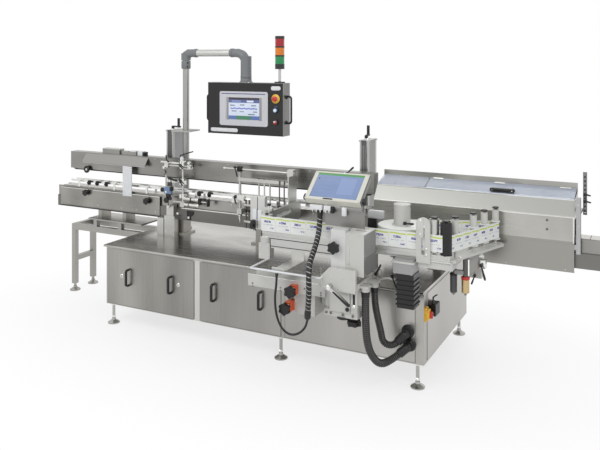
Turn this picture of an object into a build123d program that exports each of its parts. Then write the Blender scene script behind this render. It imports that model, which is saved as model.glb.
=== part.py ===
# Pressure sensitive labeler with its conveyor, hold-down, guards, label head and pendant
import os
from math import atan2, asin, cos, degrees, radians, sin, tan
from build123d import *

# Main sizes in millimetres. X runs along the conveyor, Y to the rear, Z up from the floor.
cabinet_left = -1510.0
cabinet_right = 1005.0
cabinet_front = -30.0
cabinet_back = 1010.0
cabinet_bottom = 150.0
table_height = 600.0
table_thickness = 15.0
table_lip = 15.0
panel_sheet = 3.0
panel_gap = 8.0
sheet = 3.0
hose_diameter = 46.0
port_length = 36.0
elbow_y = cabinet_front - 68.0
upper_away = Vector(-0.66, -0.25, -0.71).normalized()
lower_away = Vector(-0.70, -0.35, -0.62).normalized()
hose_elbows = ((905.0, 345.0, upper_away, 52.0), (915.0, 265.0, lower_away, 45.0))
seat_gap = 0.3

# Cabinet feet
foot_inset = 48.0
foot_pad_diameter = 90.0
foot_stem_diameter = 22.0

# Conveyor
conveyor_left = -2540.0
conveyor_right = 2150.0
conveyor_centre = 560.0
conveyor_height = 905.0
beam_width = 150.0
beam_bottom = conveyor_height - 185.0
beam_top = conveyor_height - 90.0
chain_width = 110.0
chain_thickness = 6.0
side_plate = 6.0

# Hold-down over the bottles
holddown_left = -2420.0
holddown_right = 470.0
holddown_bottom = conveyor_height + 139.0
holddown_top = holddown_bottom + 161.0
holddown_depth = 80.0
hood_left = -2240.0
hood_length = 690.0

# Adjusting columns
column_width = 66.0
column_depth = 168.0
column_top = 1425.0
column_front = 645.0
left_column_x = -1424.0
right_column_x = 341.0
crank_reach = 72.0

# Pendant
pole_x = -1295.0
pole_y = 700.0
pole_diameter = 54.0
arm_height = 2074.0
arm_length = 592.0
pendant_width = 700.0
pendant_height = 415.0
pendant_depth = 110.0
pendant_top = arm_height - 239.0
stack_inset = 63.0
stack_diameter = 75.0

# Outfeed cover
cover_left = 495.0
cover_right = 1812.0
cover_front = 450.0
cover_bottom = conveyor_height - 208.0
cover_step = conveyor_height - 27.0
cover_crease = conveyor_height + 135.0
cover_fold_y = 520.0
cover_fold_z = cover_crease + 94.0
lid_hinge_y = 650.0
lid_hinge_z = cover_fold_z + 50.0
cover_top = lid_hinge_z + 39.0
wall_foot = lid_hinge_z - 34.0
tunnel_top = conveyor_height + 115.0
lid_split = 840.0

# Label head
head_front = -150.0
rail_front = -300.0
stage_x = 575.0
head_plate_z = conveyor_height - 77.0
plate_top = head_plate_z + 15.0
web_bottom = conveyor_height - 19.0
web_height = 100.0
reel_x = 850.0
reel_y = 20.0
reel_diameter = 300.0
roller_diameter = 60.0
panel_width = 372.0
panel_height = 228.0
panel_depth = 40.0
panel_tilt = 50.0
panel_axis_y = -227.0
panel_axis_z = head_plate_z + 334.0
panel_mid_y = -170.0
panel_mid_z = panel_axis_z + 48.0
panel_x = 498.0
panel_pin = 14.0
guide_roller_diameter = 42.0
web_sheet = 1.0
run_heading = 70.4
beam_low = head_plate_z + 17.0
beam_high = beam_low + 38.0
turn_x = -46.0
turn_diameter = 76.0

os.makedirs("parts", exist_ok=True)


def block(x0, x1, y0, y1, z0, z1, mode=Mode.ADD):
    """Adds one box to the part being built, given by its limits."""
    with Locations(((x0 + x1) / 2, (y0 + y1) / 2, (z0 + z1) / 2)):
        Box(x1 - x0, y1 - y0, z1 - z0, mode=mode)


def rod(x, y, z, diameter, length, axis="Z", mode=Mode.ADD):
    """Adds one round bar, given by the middle of its lower end."""
    turn = {"X": (0, 90, 0), "Y": (-90, 0, 0), "Z": (0, 0, 0)}[axis]
    low = (Align.CENTER, Align.CENTER, Align.MIN)
    with Locations(Location((x, y, z), turn)):
        Cylinder(diameter / 2, length, align=low, mode=mode)


def foot(x, y, top):
    """Adds one levelling foot that reaches from the floor up to a given height."""
    pad = foot_pad_diameter / 2
    stem = foot_stem_diameter / 2
    with BuildSketch(Plane(origin=(x, y, 0), x_dir=(1, 0, 0), z_dir=(0, -1, 0))) as outline:
        with BuildLine():
            Polyline((0, 0), (pad, 0), (pad, 8), (stem + 6, 26), (stem + 3, 38), (stem, 38))
            Line((stem, 38), (stem, top))
            Line((stem, top), (0, top))
            Line((0, top), (0, 0))
        make_face()
    revolve(outline.sketch, axis=Axis((x, y, 0), (0, 0, 1)))


def star(x, y, z, diameter, depth, direction):
    """Adds one star knob with six lobes and its hub, seen along a direction."""
    plane = Plane(origin=(x, y, z), z_dir=direction)
    with BuildSketch(plane) as hub:
        Circle(diameter * 0.22)
    extrude(hub.sketch, amount=depth)
    with BuildSketch(plane.offset(depth * 0.45)) as lobes:
        Circle(diameter * 0.40)
        with PolarLocations(diameter * 0.38, 6):
            Circle(diameter * 0.12)
    extrude(lobes.sketch, amount=depth * 0.55)


# Cabinet body with its plinth edge
with BuildPart() as cabinet_body:
    body_front = cabinet_front + panel_sheet
    block(cabinet_left, cabinet_right, body_front, cabinet_back, cabinet_bottom, table_height - table_thickness)
cabinet_body.part.label = "cabinet_body"
export_step(cabinet_body.part, "parts/cabinet_body.step")

# Table top with a rolled front and end lip
with BuildPart() as table_top:
    lip_front = cabinet_front - table_lip
    lip_left = cabinet_left - table_lip
    block(lip_left, cabinet_right, lip_front, cabinet_back, table_height - table_thickness, table_height)
    fillet(table_top.edges().filter_by(Axis.X).group_by(Axis.Y)[0], 6)
table_top.part.label = "table_top"
export_step(table_top.part, "parts/table_top.step")

# Three lift-off front panels between the posts
panel_edges = ((-1495.0, -694.0), (-642.0, 14.0), (45.0, 950.0))
with BuildPart() as cabinet_panels:
    for x0, x1 in panel_edges:
        block(x0, x1, cabinet_front, cabinet_front + panel_sheet, cabinet_bottom + panel_gap, table_height - 25)
    block(cabinet_right, cabinet_right + sheet, 40, cabinet_back - 30, cabinet_bottom + panel_gap, table_height - 25)
    for x, z, away, reach in hose_elbows:
        rod(x, cabinet_front - port_length, z, 62, port_length, "Y")
        rod(x, elbow_y, z, hose_diameter + 6, cabinet_front - elbow_y, "Y")
        with Locations((x, elbow_y, z)):
            Sphere(hose_diameter / 2 + 3.5)
        with BuildSketch(Plane(origin=(x, elbow_y, z), z_dir=away)) as arm:
            Circle(hose_diameter / 2 + 3)
        extrude(arm.sketch, amount=reach)
cabinet_panels.part.label = "cabinet_panels"
export_step(cabinet_panels.part, "parts/cabinet_panels.step")

# Four vertical pull handles
handle_height = 117.0
handle_bar = 11.0
handle_reach = 34.0
handle_z = 376.0
handle_x = (-1289.0, -898.0, -523.0, -141.0)
with BuildPart() as panel_handles:
    for x in handle_x:
        top = handle_z + handle_height / 2
        low = handle_z - handle_height / 2
        out = cabinet_front - handle_reach
        with BuildLine() as route:
            FilletPolyline((x, cabinet_front, low), (x, out, low), (x, out, top), (x, cabinet_front, top), radius=16)
        with BuildSketch(Plane(origin=(x, cabinet_front, low), x_dir=(1, 0, 0), z_dir=(0, -1, 0))):
            Rectangle(16, handle_bar)
        sweep(path=route.wires()[0])
panel_handles.part.label = "panel_handles"
export_step(panel_handles.part, "parts/panel_handles.step")

# Levelling feet under the cabinet
foot_y = (cabinet_front + foot_inset - 18, cabinet_back - foot_inset + 18)
with BuildPart() as levelling_feet:
    for x in (cabinet_left + foot_inset, 0, cabinet_right - foot_inset):
        for y in foot_y:
            foot(x, y, cabinet_bottom)
levelling_feet.part.label = "levelling_feet"
export_step(levelling_feet.part, "parts/levelling_feet.step")

# Main switch on the right end
end_face = cabinet_right
with BuildPart() as end_switches:
    block(end_face, end_face + 12, -24, 26, 415, 500)
    fillet(end_switches.edges().filter_by(Axis.X), 6)
    rod(end_face + 12, 1, 457, 40, 6, "X")
    block(end_face + sheet, end_face + 48, 60, 150, 430, 500)
    rod(end_face + 25, 84, 500, 10, 42)
end_switches.part.label = "end_switches"
export_step(end_switches.part, "parts/end_switches.step")

with BuildPart() as main_switch_knob:
    rod(end_face + 18 + seat_gap, 1, 457, 36, 10, "X")
    block(end_face + 28, end_face + 46, -6, 8, 437, 477)
main_switch_knob.part.label = "main_switch_knob"
export_step(main_switch_knob.part, "parts/main_switch_knob.step")

# Conveyor beam, a channel with a ledge on each side
beam_front = conveyor_centre - beam_width / 2
beam_back = conveyor_centre + beam_width / 2
with BuildPart() as conveyor_beam:
    block(conveyor_left, conveyor_right, beam_front, beam_back, beam_bottom, beam_top)
    block(conveyor_left, conveyor_right, beam_front + 4, beam_back - 4, beam_bottom - 1, beam_top - 4, Mode.SUBTRACT)
conveyor_beam.part.label = "conveyor_beam"
export_step(conveyor_beam.part, "parts/conveyor_beam.step")

# Conveyor side plates and cross ties
plate_front = conveyor_centre - chain_width / 2 - 2 - side_plate
plate_back = conveyor_centre + chain_width / 2 + 2
tie_spacing = 380.0
with BuildPart() as conveyor_sides:
    block(conveyor_left, conveyor_right, plate_front, plate_front + side_plate, beam_top, conveyor_height - 4)
    block(conveyor_left, conveyor_right, plate_back, plate_back + side_plate, beam_top, conveyor_height - 4)
    count = int((conveyor_right - conveyor_left - 400) / tie_spacing)
    for i in range(count + 1):
        tie_x = conveyor_left + 200 + i * tie_spacing
        block(tie_x - 10, tie_x + 10, plate_front + 1, plate_back + 1, conveyor_height - 53, conveyor_height - 33)
    wear_top = conveyor_height - chain_thickness - seat_gap
    for y in (conveyor_centre - 32, conveyor_centre + 22):
        block(conveyor_left + 80, conveyor_right - 80, y, y + 10, conveyor_height - 45, wear_top)
conveyor_sides.part.label = "conveyor_sides"
export_step(conveyor_sides.part, "parts/conveyor_sides.step")

# Chain as one fixed loop round its end sprockets
chain_drop = 82.0
with BuildPart() as conveyor_chain:
    span = conveyor_right - conveyor_left - 40
    mid_x = (conveyor_right + conveyor_left) / 2
    mid_z = conveyor_height - chain_drop / 2
    with BuildSketch(Plane(origin=(mid_x, conveyor_centre + chain_width / 2, mid_z), x_dir=(1, 0, 0), z_dir=(0, -1, 0))):
        SlotOverall(span, chain_drop)
        offset(amount=-chain_thickness, mode=Mode.SUBTRACT)
    extrude(amount=chain_width)
conveyor_chain.part.label = "conveyor_chain"
export_step(conveyor_chain.part, "parts/conveyor_chain.step")

# Guide rails on both sides of the bottles
rail_z = conveyor_height + 45.0
rail_gap = 62.0
with BuildPart() as guide_rails:
    for side in (-1, 1):
        y = conveyor_centre + side * rail_gap / 2
        block(conveyor_left + 120, cover_left - 30, min(y, y + side * 5), max(y, y + side * 5), rail_z - 9, rail_z + 9)
        out = plate_front + 3 if side < 0 else plate_back + 3
        for x in (-2300, -1900, -1550, -1050, -700, -300, 100, 400):
            block(x - 6, x + 6, min(y + side * 5, out), max(y + side * 5, out), rail_z - 5, rail_z + 5)
            block(x - 10, x + 10, out - 3, out + 3, conveyor_height - 4, rail_z + 5)
guide_rails.part.label = "guide_rails"
export_step(guide_rails.part, "parts/guide_rails.step")

# Infeed side plate with its bottom flange
infeed_left = -2500.0
infeed_right = -1400.0
infeed_top = conveyor_height - 17.0
with BuildPart() as infeed_side_plate:
    block(infeed_left, infeed_right, beam_front - 6, beam_front, beam_bottom + 7, infeed_top)
    block(infeed_left, infeed_right, beam_front - 22, beam_front - 6, beam_bottom + 7, beam_bottom + 10)
    block(infeed_left, infeed_right, beam_front, plate_front, infeed_top - 3, infeed_top)
    # Star knobs that clamp the infeed guides
    for x, z in ((-2190.0, infeed_top - 26), (-1522.0, infeed_top - 42)):
        star(x, beam_front - 6, z, 56, 34, (0, -1, 0))
infeed_side_plate.part.label = "infeed_side_plate"
export_step(infeed_side_plate.part, "parts/infeed_side_plate.step")

# White upright in front of the infeed
with BuildPart() as infeed_upright:
    block(-1786, -1690, beam_front - 12, beam_front - 6, infeed_top - 20, infeed_top + 230)
infeed_upright.part.label = "infeed_upright"
export_step(infeed_upright.part, "parts/infeed_upright.step")

# Infeed subframe with legs, rails and short posts
with BuildPart() as conveyor_stands:
    for y in (440, 660):
        block(-2330, cabinet_left, y, y + 40, 535, 585)
        block(-2330, -2290, y, y + 40, 60, 535)
        foot(-2310, y + 20, 60)
        for x in (-2080, -1810):
            block(x, x + 36, y, y + 40, 585, 640)
    block(-2330, -2290, 480, 660, 535, 585)
    block(-2330, -2290, 480, 660, 260, 300)
    block(-2140, -1560, 440, 700, 640, 652)
    for x in (-2080, -1810):
        block(x, x + 36, 500, 620, 652, beam_bottom)
    for y in (conveyor_centre - 130, conveyor_centre + 90):
        block(2080, 2120, y, y + 40, 60, beam_bottom - 40)
        foot(2100, y + 20, 60)
    block(2080, 2120, conveyor_centre - 130, conveyor_centre + 130, beam_bottom - 40, beam_bottom)
    block(2080, 2120, conveyor_centre - 90, conveyor_centre + 90, 260, 300)
    for x in (-1240, -500, 240, 900):
        block(x, x + 60, conveyor_centre - 50, conveyor_centre + 50, table_height, beam_bottom)
        block(x - 30, x + 90, conveyor_centre - 70, conveyor_centre + 70, table_height, table_height + 12)
conveyor_stands.part.label = "conveyor_stands"
export_step(conveyor_stands.part, "parts/conveyor_stands.step")

# Hold-down housing over the bottles, hung from carriages on the columns
holddown_front = conveyor_centre - holddown_depth / 2
holddown_back = conveyor_centre + holddown_depth / 2
with BuildPart() as holddown_housing:
    block(holddown_left, holddown_right, holddown_front, holddown_back, holddown_bottom + 14, holddown_top)
    block(holddown_left + 3, holddown_right - 3, holddown_front + 3, holddown_back - 3, holddown_bottom, holddown_top - 3, Mode.SUBTRACT)
    block(-2060, -1870, conveyor_centre - 30, conveyor_centre + 30, holddown_top, holddown_top + 42)
    block(-1850, -1690, conveyor_centre - 25, conveyor_centre + 25, holddown_top, holddown_top + 30)
    block(holddown_left + 60, holddown_right - 60, conveyor_centre - 20, conveyor_centre + 20, holddown_bottom + 6 + seat_gap, holddown_bottom + 74 - seat_gap)
    for x in (holddown_left + 200, -1400, -400, holddown_right - 120):
        rod(x, holddown_front + 3, holddown_bottom + 40, 24, holddown_depth - 6, "Y")
    for x in (left_column_x, right_column_x):
        block(x - 28, x + 28, holddown_back, column_front - seat_gap, holddown_bottom + 36, holddown_top - 15)
    hood_out = holddown_front - 44
    hood_low = holddown_top - 81
    with BuildSketch(Plane.YZ.offset(hood_left)) as hood:
        with BuildLine():
            Polyline((holddown_front, holddown_top - 13), (hood_out, hood_low + 8), (hood_out, hood_low))
            Polyline((hood_out, hood_low), (hood_out - sheet, hood_low), (hood_out - sheet, hood_low + 10))
            Line((hood_out - sheet, hood_low + 10), (holddown_front, holddown_top - 8))
            Line((holddown_front, holddown_top - 8), (holddown_front, holddown_top - 13))
        make_face()
    extrude(hood.sketch, amount=hood_length)
holddown_housing.part.label = "holddown_housing"
export_step(holddown_housing.part, "parts/holddown_housing.step")

# Black hold-down belt, one fixed loop
with BuildPart() as holddown_belt:
    belt_mid = (holddown_left + holddown_right) / 2
    belt_span = holddown_right - holddown_left - 16
    with BuildSketch(Plane(origin=(belt_mid, conveyor_centre + 25, holddown_bottom + 40), x_dir=(1, 0, 0), z_dir=(0, -1, 0))):
        SlotOverall(belt_span, 80)
        offset(amount=-6, mode=Mode.SUBTRACT)
    extrude(amount=50)
holddown_belt.part.label = "holddown_belt"
export_step(holddown_belt.part, "parts/holddown_belt.step")

# Two adjusting columns, each a slotted profile with base and top plate
def column(x, top_right):
    """Adds one adjusting column that stands on the table."""
    half = column_width / 2
    back = column_front + column_depth
    block(x - half, x + half, column_front, back, table_height + 12, column_top - 12)
    for i in range(4):
        cut = x - half + 12 + i * 13
        block(cut, cut + 6, column_front - 1, column_front + 5, table_height + 60, column_top - 40, Mode.SUBTRACT)
    block(x - half - 20, x + half + 20, column_front, back + 20, table_height, table_height + 12)
    block(x - half - 6, top_right, column_front - 4, back + 4, column_top - 12, column_top)


with BuildPart() as adjusting_column_left:
    column(left_column_x, pole_x + 60)
    rod(pole_x, pole_y, column_top - 20, pole_diameter, 30, "Z", Mode.SUBTRACT)
adjusting_column_left.part.label = "adjusting_column_left"
export_step(adjusting_column_left.part, "parts/adjusting_column_left.step")

with BuildPart() as adjusting_column_right:
    column(right_column_x, right_column_x + 39)
adjusting_column_right.part.label = "adjusting_column_right"
export_step(adjusting_column_right.part, "parts/adjusting_column_right.step")


def crank(x, y, angle):
    """Adds one hand crank on a column top, its arm turned by an angle in degrees."""
    rod(x, y, column_top + seat_gap, 26, 30)
    with Locations(Location((x, y, column_top + 22), (0, 0, angle))):
        Box(crank_reach + 20, 20, 12, align=(Align.MIN, Align.CENTER, Align.MIN))
    tip_x = Vector(crank_reach, 0, 0).rotate(Axis.Z, angle)
    rod(x + tip_x.X, y + tip_x.Y, column_top + 34, 22, 66)


crank_y = column_front + 46
with BuildPart() as crank_left:
    crank(left_column_x, crank_y, -12)
crank_left.part.label = "crank_left"
export_step(crank_left.part, "parts/crank_left.step")

with BuildPart() as crank_right:
    crank(right_column_x, crank_y, 100)
crank_right.part.label = "crank_right"
export_step(crank_right.part, "parts/crank_right.step")

# Pendant pole on the table
pole_top = arm_height - 60
with BuildPart() as pendant_pole:
    rod(pole_x, pole_y, table_height, pole_diameter, pole_top - table_height)
    rod(pole_x, pole_y, table_height, pole_diameter + 46, 12)
pendant_pole.part.label = "pendant_pole"
export_step(pendant_pole.part, "parts/pendant_pole.step")

# Pendant arm with elbow castings at both ends
drop_x = pole_x + arm_length
pendant_link = 42.0
with BuildPart() as pendant_arm:
    with BuildLine() as run:
        FilletPolyline((pole_x, pole_y, pole_top + seat_gap), (pole_x, pole_y, arm_height), (drop_x, pole_y, arm_height), (drop_x, pole_y, pendant_top + pendant_link), radius=58)
    with BuildSketch(Plane(origin=(pole_x, pole_y, pole_top + seat_gap))):
        Circle(pole_diameter / 2)
    sweep(path=run.wires()[0])
    rod(pole_x, pole_y, pole_top + seat_gap, pole_diameter + 26, 60)
    rod(drop_x, pole_y, pendant_top + pendant_link, pole_diameter + 34, 170)
pendant_arm.part.label = "pendant_arm"
export_step(pendant_arm.part, "parts/pendant_arm.step")

# Pendant box, coupling and fittings
box_front = pole_y - 60
box_left = drop_x - 327.0
box_right = box_left + pendant_width
with BuildPart() as pendant_box:
    block(box_left, box_right, box_front + 3, box_front + pendant_depth, pendant_top - pendant_height, pendant_top)
    rod(drop_x, pole_y, pendant_top, pole_diameter + 30, pendant_link - seat_gap)
    block(box_left, box_right, box_front, box_front + 3, pendant_top - pendant_height, pendant_top)
pendant_box.part.label = "pendant_box"
export_step(pendant_box.part, "parts/pendant_box.step")

with BuildPart() as pendant_controls:
    block(box_left + 117, box_right - 135, box_front - 6, box_front, pendant_top - 345, pendant_top - 71)
    fillet(pendant_controls.edges().filter_by(Axis.Y), 18)
    screen_low = pendant_top - 300
    screen_high = pendant_top - 119
    block(box_left + 175, box_right - 189, box_front - 7, box_front - 3, screen_low, screen_high, Mode.SUBTRACT)
    button_x = box_right - 64
    rod(button_x, box_front - 6, pendant_top - 123, 66, 6, "Y")
    rod(button_x, box_front - 30, pendant_top - 123, 38, 24, "Y")
    rod(button_x, box_front - 10, pendant_top - 213, 30, 10, "Y")
    rod(button_x, box_front - 14, pendant_top - 307, 30, 14, "Y")
pendant_controls.part.label = "pendant_controls"
export_step(pendant_controls.part, "parts/pendant_controls.step")

with BuildPart() as pendant_handles:
    for x, side in ((box_left, -1), (box_right, 1)):
        y = box_front + 55
        low = pendant_top - 315
        top = pendant_top - 105
        out = x + side * 42
        with BuildLine() as bow:
            FilletPolyline((x, y, low), (out, y, low), (out, y, top), (x, y, top), radius=20)
        with BuildSketch(Plane(origin=(x, y, low), z_dir=(side, 0, 0))):
            Circle(8)
        sweep(path=bow.wires()[0])
pendant_handles.part.label = "pendant_handles"
export_step(pendant_handles.part, "parts/pendant_handles.step")

# Stack light on the pendant
stack_x = box_right - stack_inset
lamp_pitch = 70.0
lamp_low = pendant_top + 109
first_lamp = lamp_low + 40
with BuildPart() as stack_light:
    rod(stack_x, pole_y, pendant_top, 84, 10)
    rod(stack_x, pole_y, pendant_top + 10, 22, 100)
    rod(stack_x, pole_y, lamp_low, stack_diameter, 40)
    for i in range(3):
        rod(stack_x, pole_y, first_lamp + i * lamp_pitch, stack_diameter - 2, lamp_pitch - 12)
        rod(stack_x, pole_y, first_lamp + (i + 1) * lamp_pitch - 12, stack_diameter, 12)
    rod(stack_x, pole_y, first_lamp + 3 * lamp_pitch, stack_diameter, 10)
stack_light.part.label = "stack_light"
export_step(stack_light.part, "parts/stack_light.step")

# Outfeed cover front, folded from sheet
with BuildPart() as cover_front_sheet:
    with BuildSketch(Plane.YZ.offset(cover_left)):
        with BuildLine():
            Polyline((cover_front, cover_step), (cover_front, cover_crease), (cover_fold_y, cover_fold_z))
            offset(amount=sheet / 2, side=Side.BOTH, kind=Kind.INTERSECTION)
        make_face()
    extrude(amount=cover_right - cover_left)
    for x in (cover_left, cover_right - sheet):
        with BuildSketch(Plane.YZ.offset(x)):
            with BuildLine():
                Polyline(
                    (cover_front, cover_step + 12), (cover_front, cover_crease), (cover_fold_y, cover_fold_z - 1),
                    (lid_hinge_y + 5, lid_hinge_z - 12), (lid_hinge_y + 5, wall_foot), (lid_hinge_y + 8, wall_foot),
                    (lid_hinge_y + 8, cover_bottom + 3), (beam_back + 8, cover_bottom + 3), (beam_back + 8, tunnel_top),
                    (beam_front - 8, tunnel_top), (beam_front - 8, cover_step + 12), close=True)
            make_face()
        extrude(amount=sheet)
    block(cover_left, cover_right, cover_front + 5, cover_front + 8, cover_bottom, cover_step + 12)
    block(cover_left, cover_right, cover_front + 1.5, cover_front + 5, cover_step - 8, cover_step + 12)
    block(cover_left, cover_right, cover_front + 8, cover_front + 30, cover_bottom, cover_bottom + 3)
cover_front_sheet.part.label = "cover_front_sheet"
export_step(cover_front_sheet.part, "parts/cover_front_sheet.step")

# Cover rear wall, which stands on the table and carries the hinge
with BuildPart() as cover_rear_wall:
    block(cover_left, cover_right, lid_hinge_y + 8, lid_hinge_y + 11, cover_bottom, cover_top)
    block(cover_left, cover_right, lid_hinge_y + 5 + seat_gap, lid_hinge_y + 8, wall_foot, lid_hinge_z + 4)
    for x in (560, 900):
        block(x, x + 40, lid_hinge_y + 8, lid_hinge_y + 14, table_height, conveyor_height - 5)
        block(x - 20, x + 60, lid_hinge_y + 8, lid_hinge_y + 60, table_height, table_height + 8)
cover_rear_wall.part.label = "cover_rear_wall"
export_step(cover_rear_wall.part, "parts/cover_rear_wall.step")

# Fixed clear panel and the clear lid on its hinge


def lid_panel(x0, x1):
    """Adds one clear panel from the hinge line down to the front fold."""
    with BuildSketch(Plane.YZ.offset(x0)) as section:
        with BuildLine():
            Polyline((lid_hinge_y, lid_hinge_z), (cover_fold_y, cover_fold_z + 4))
            offset(amount=2.5, side=Side.BOTH, kind=Kind.INTERSECTION)
        make_face()
    extrude(section.sketch, amount=x1 - x0)
    rod(x0, lid_hinge_y, lid_hinge_z, 10, x1 - x0, "X")


with BuildPart() as fixed_clear_panel:
    lid_panel(cover_left, lid_split - 3)
fixed_clear_panel.part.label = "fixed_clear_panel"
export_step(fixed_clear_panel.part, "parts/fixed_clear_panel.step")

with BuildPart() as clear_lid:
    lid_panel(lid_split + 3, cover_right - 6)
    block(1290, 1430, cover_fold_y + 15, cover_fold_y + 33, cover_fold_z + 16, cover_fold_z + 36)
clear_lid.part.label = "clear_lid"
export_step(clear_lid.part, "parts/clear_lid.step")

# End post and drilled adjusting bar past the cover
with BuildPart() as end_post:
    block(1824, 1850, cover_front, cover_front + 30, beam_top, cover_fold_z + 29)
    block(cover_right, 1850, cover_front + 8, cover_front + 30, beam_top + 25, beam_top + 55)
    block(1849, 1873, 596, 604, cover_crease - 6, cover_crease + 264)
    for i in range(9):
        rod(1861, 590, cover_crease + 12 + i * 28, 9, 20, "Y", Mode.SUBTRACT)
    block(1824, 1850, cover_front + 30, 596, cover_crease + 20, cover_crease + 36)
end_post.part.label = "end_post"
export_step(end_post.part, "parts/end_post.step")

# Base rail of the label head, a channel on brackets from the cabinet front
rail_bottom = table_height - 35.0
rail_top = rail_bottom + 75.0
rail_left = -78.0
rail_right = 470.0
with BuildPart() as base_rail:
    block(rail_left, rail_right, rail_front, rail_front + 110, rail_bottom, rail_top)
    block(rail_left - 1, 130, rail_front + 4, rail_front + 106, rail_bottom + 4, rail_top + 1, Mode.SUBTRACT)
    for x in (180, 400):
        block(x, x + 50, rail_front + 100, cabinet_front, rail_bottom - 80, table_height - table_thickness - 4)
    block(250, 390, rail_front + 20, rail_front + 200, rail_bottom - 135, rail_bottom)
base_rail.part.label = "base_rail"
export_step(base_rail.part, "parts/base_rail.step")

indicator_places = ((262.0, rail_bottom + 23.0), (225.0, rail_bottom - 87.0))
with BuildPart() as position_indicators:
    for x, z in indicator_places:
        block(x - 22, x + 22, rail_front - 34, rail_front, z - 26, z + 30)
    block(203, 250, rail_front, rail_front + 60, rail_bottom - 113, rail_bottom - 59)
position_indicators.part.label = "position_indicators"
export_step(position_indicators.part, "parts/position_indicators.step")

with BuildPart() as handwheel_upper:
    x, z = indicator_places[0]
    star(x, rail_front - 34 - seat_gap, z, 78, 46, (0, -1, 0))
handwheel_upper.part.label = "handwheel_upper"
export_step(handwheel_upper.part, "parts/handwheel_upper.step")

with BuildPart() as handwheel_lower:
    x, z = indicator_places[1]
    star(x, rail_front - 34 - seat_gap, z, 78, 46, (0, -1, 0))
handwheel_lower.part.label = "handwheel_lower"
export_step(handwheel_lower.part, "parts/handwheel_lower.step")

# Lift stage with guide, chamfered clamp plate, foot plate and the arm that holds the hoses
stage_low = head_plate_z - 313.0
stage_top = head_plate_z - 143.0
plate_low = rail_top + 1.0
plate_high = rail_top + 135.0
stage_face = -355.0
gland_z = rail_top
arm_low = gland_z + 20.0
arm_high = arm_low + 26.0
outer_hose_top = (733.0, -300.0)
inner_hose_top = (746.0, -186.0)
with BuildPart() as stage_base:
    block(525, 655, stage_face, -262, stage_low, stage_top)
    block(485, 699, -345, -200, stage_low - 35, stage_low)
    block(rail_right, 540, -290, -200, stage_low, rail_top)
    block(stage_x - 28, stage_x + 28, -290, -262, stage_top, head_plate_z + 157)
    with BuildSketch(Plane.XZ.offset(-stage_face)) as clamp_plate:
        with BuildLine():
            Polyline((478, plate_low), (699, plate_low), (699, plate_high), (530, plate_high), (478, plate_low + 81), close=True)
        make_face()
    extrude(clamp_plate.sketch, amount=22)
    block(640, 699, stage_face, -262, plate_low, plate_low + 49)
    block(690, 702, -345, -20, arm_low, arm_high)
    block(640, 702, -60, 20, table_height, arm_low)
    for x, y in (outer_hose_top, inner_hose_top):
        block(702, x + 28, y - 28, y + 28, arm_low + 4, arm_low + 16)
        rod(x, y, gland_z, hose_diameter + 6, 24)
stage_base.part.label = "stage_base"
export_step(stage_base.part, "parts/stage_base.step")

lever_z = plate_low + 27.0
with BuildPart() as stage_lever:
    rod(540, -413, lever_z, 34, 36 - seat_gap, "Y")
    with BuildSketch(Plane(origin=(540, -398, lever_z), x_dir=(0.82, 0, -0.57), z_dir=(0, -1, 0))) as arm:
        with Locations((65, 0)):
            SlotOverall(156, 20)
    extrude(arm.sketch, amount=14)
stage_lever.part.label = "stage_lever"
export_step(stage_lever.part, "parts/stage_lever.step")

with BuildPart() as height_handwheel:
    star(660, -300, stage_low - 35 - seat_gap, 88, 50, (0, 0, -1))
height_handwheel.part.label = "height_handwheel"
export_step(height_handwheel.part, "parts/height_handwheel.step")

# Head column that slides on the guide
with BuildPart() as head_column:
    block(stage_x - 46, stage_x + 46, -345, -290 - seat_gap, head_plate_z - 82, head_plate_z + 171)
    star(558, -345, head_plate_z + 67, 76, 42, (0, -1, 0))
head_column.part.label = "head_column"
export_step(head_column.part, "parts/head_column.step")

# Control box of the label head with the yoke of the operator panel
yoke_half = panel_width / 2 + seat_gap
yoke_sheet = 6.0
yoke_low = panel_axis_z - 67.0
yoke_top = yoke_low + 12.0
box_low = head_plate_z - 93.0
box_high = head_plate_z + 157.0
cable_gland_x = 400.0
cable_gland_drop = 12.0
with BuildPart() as control_box:
    block(stage_x + 46, 742, -345, head_front - 6, box_low, box_high)
    fillet(control_box.edges().filter_by(Axis.Y).group_by(Axis.Z)[-1], 6)
    block(stage_x + 46, 742, head_front - 6, head_front + 34, box_low, head_plate_z)
    block(panel_x - 60, 700, panel_axis_y - 4, panel_axis_y + 2, box_high, yoke_top)
    block(stage_x + 60, 700, panel_axis_y - 4, panel_axis_y + 60, box_high, box_high + 6)
    block(panel_x - yoke_half - 6, panel_x + yoke_half + 6, panel_axis_y - 14, panel_axis_y + 14, yoke_low, yoke_top)
    for side in (-1, 1):
        x = panel_x + side * (yoke_half + yoke_sheet / 2)
        block(x - yoke_sheet / 2, x + yoke_sheet / 2, panel_axis_y - 14, panel_axis_y + 14, yoke_low, panel_axis_z + 14)
        rod(x - yoke_sheet, panel_axis_y, panel_axis_z, panel_pin + 2 * seat_gap, 2 * yoke_sheet, "X", Mode.SUBTRACT)
    rod(cable_gland_x, panel_axis_y, yoke_low - cable_gland_drop, 42, cable_gland_drop)
control_box.part.label = "control_box"
export_step(control_box.part, "parts/control_box.step")

# Operator panel on its two pivot pins, tilted back
tilt_plane = Plane(origin=(panel_x, panel_mid_y, panel_mid_z), x_dir=(1, 0, 0), z_dir=(0, -0.643, 0.766))
with BuildPart() as operator_panel:
    with BuildSketch(tilt_plane) as face:
        RectangleRounded(panel_width, panel_height, 8)
    extrude(face.sketch, amount=panel_depth / 2, both=True)
    pin_length = panel_width + 2 * yoke_sheet + 4
    rod(panel_x - pin_length / 2, panel_axis_y, panel_axis_z, panel_pin, pin_length, "X")
operator_panel.part.label = "operator_panel"
export_step(operator_panel.part, "parts/operator_panel.step")

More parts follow.
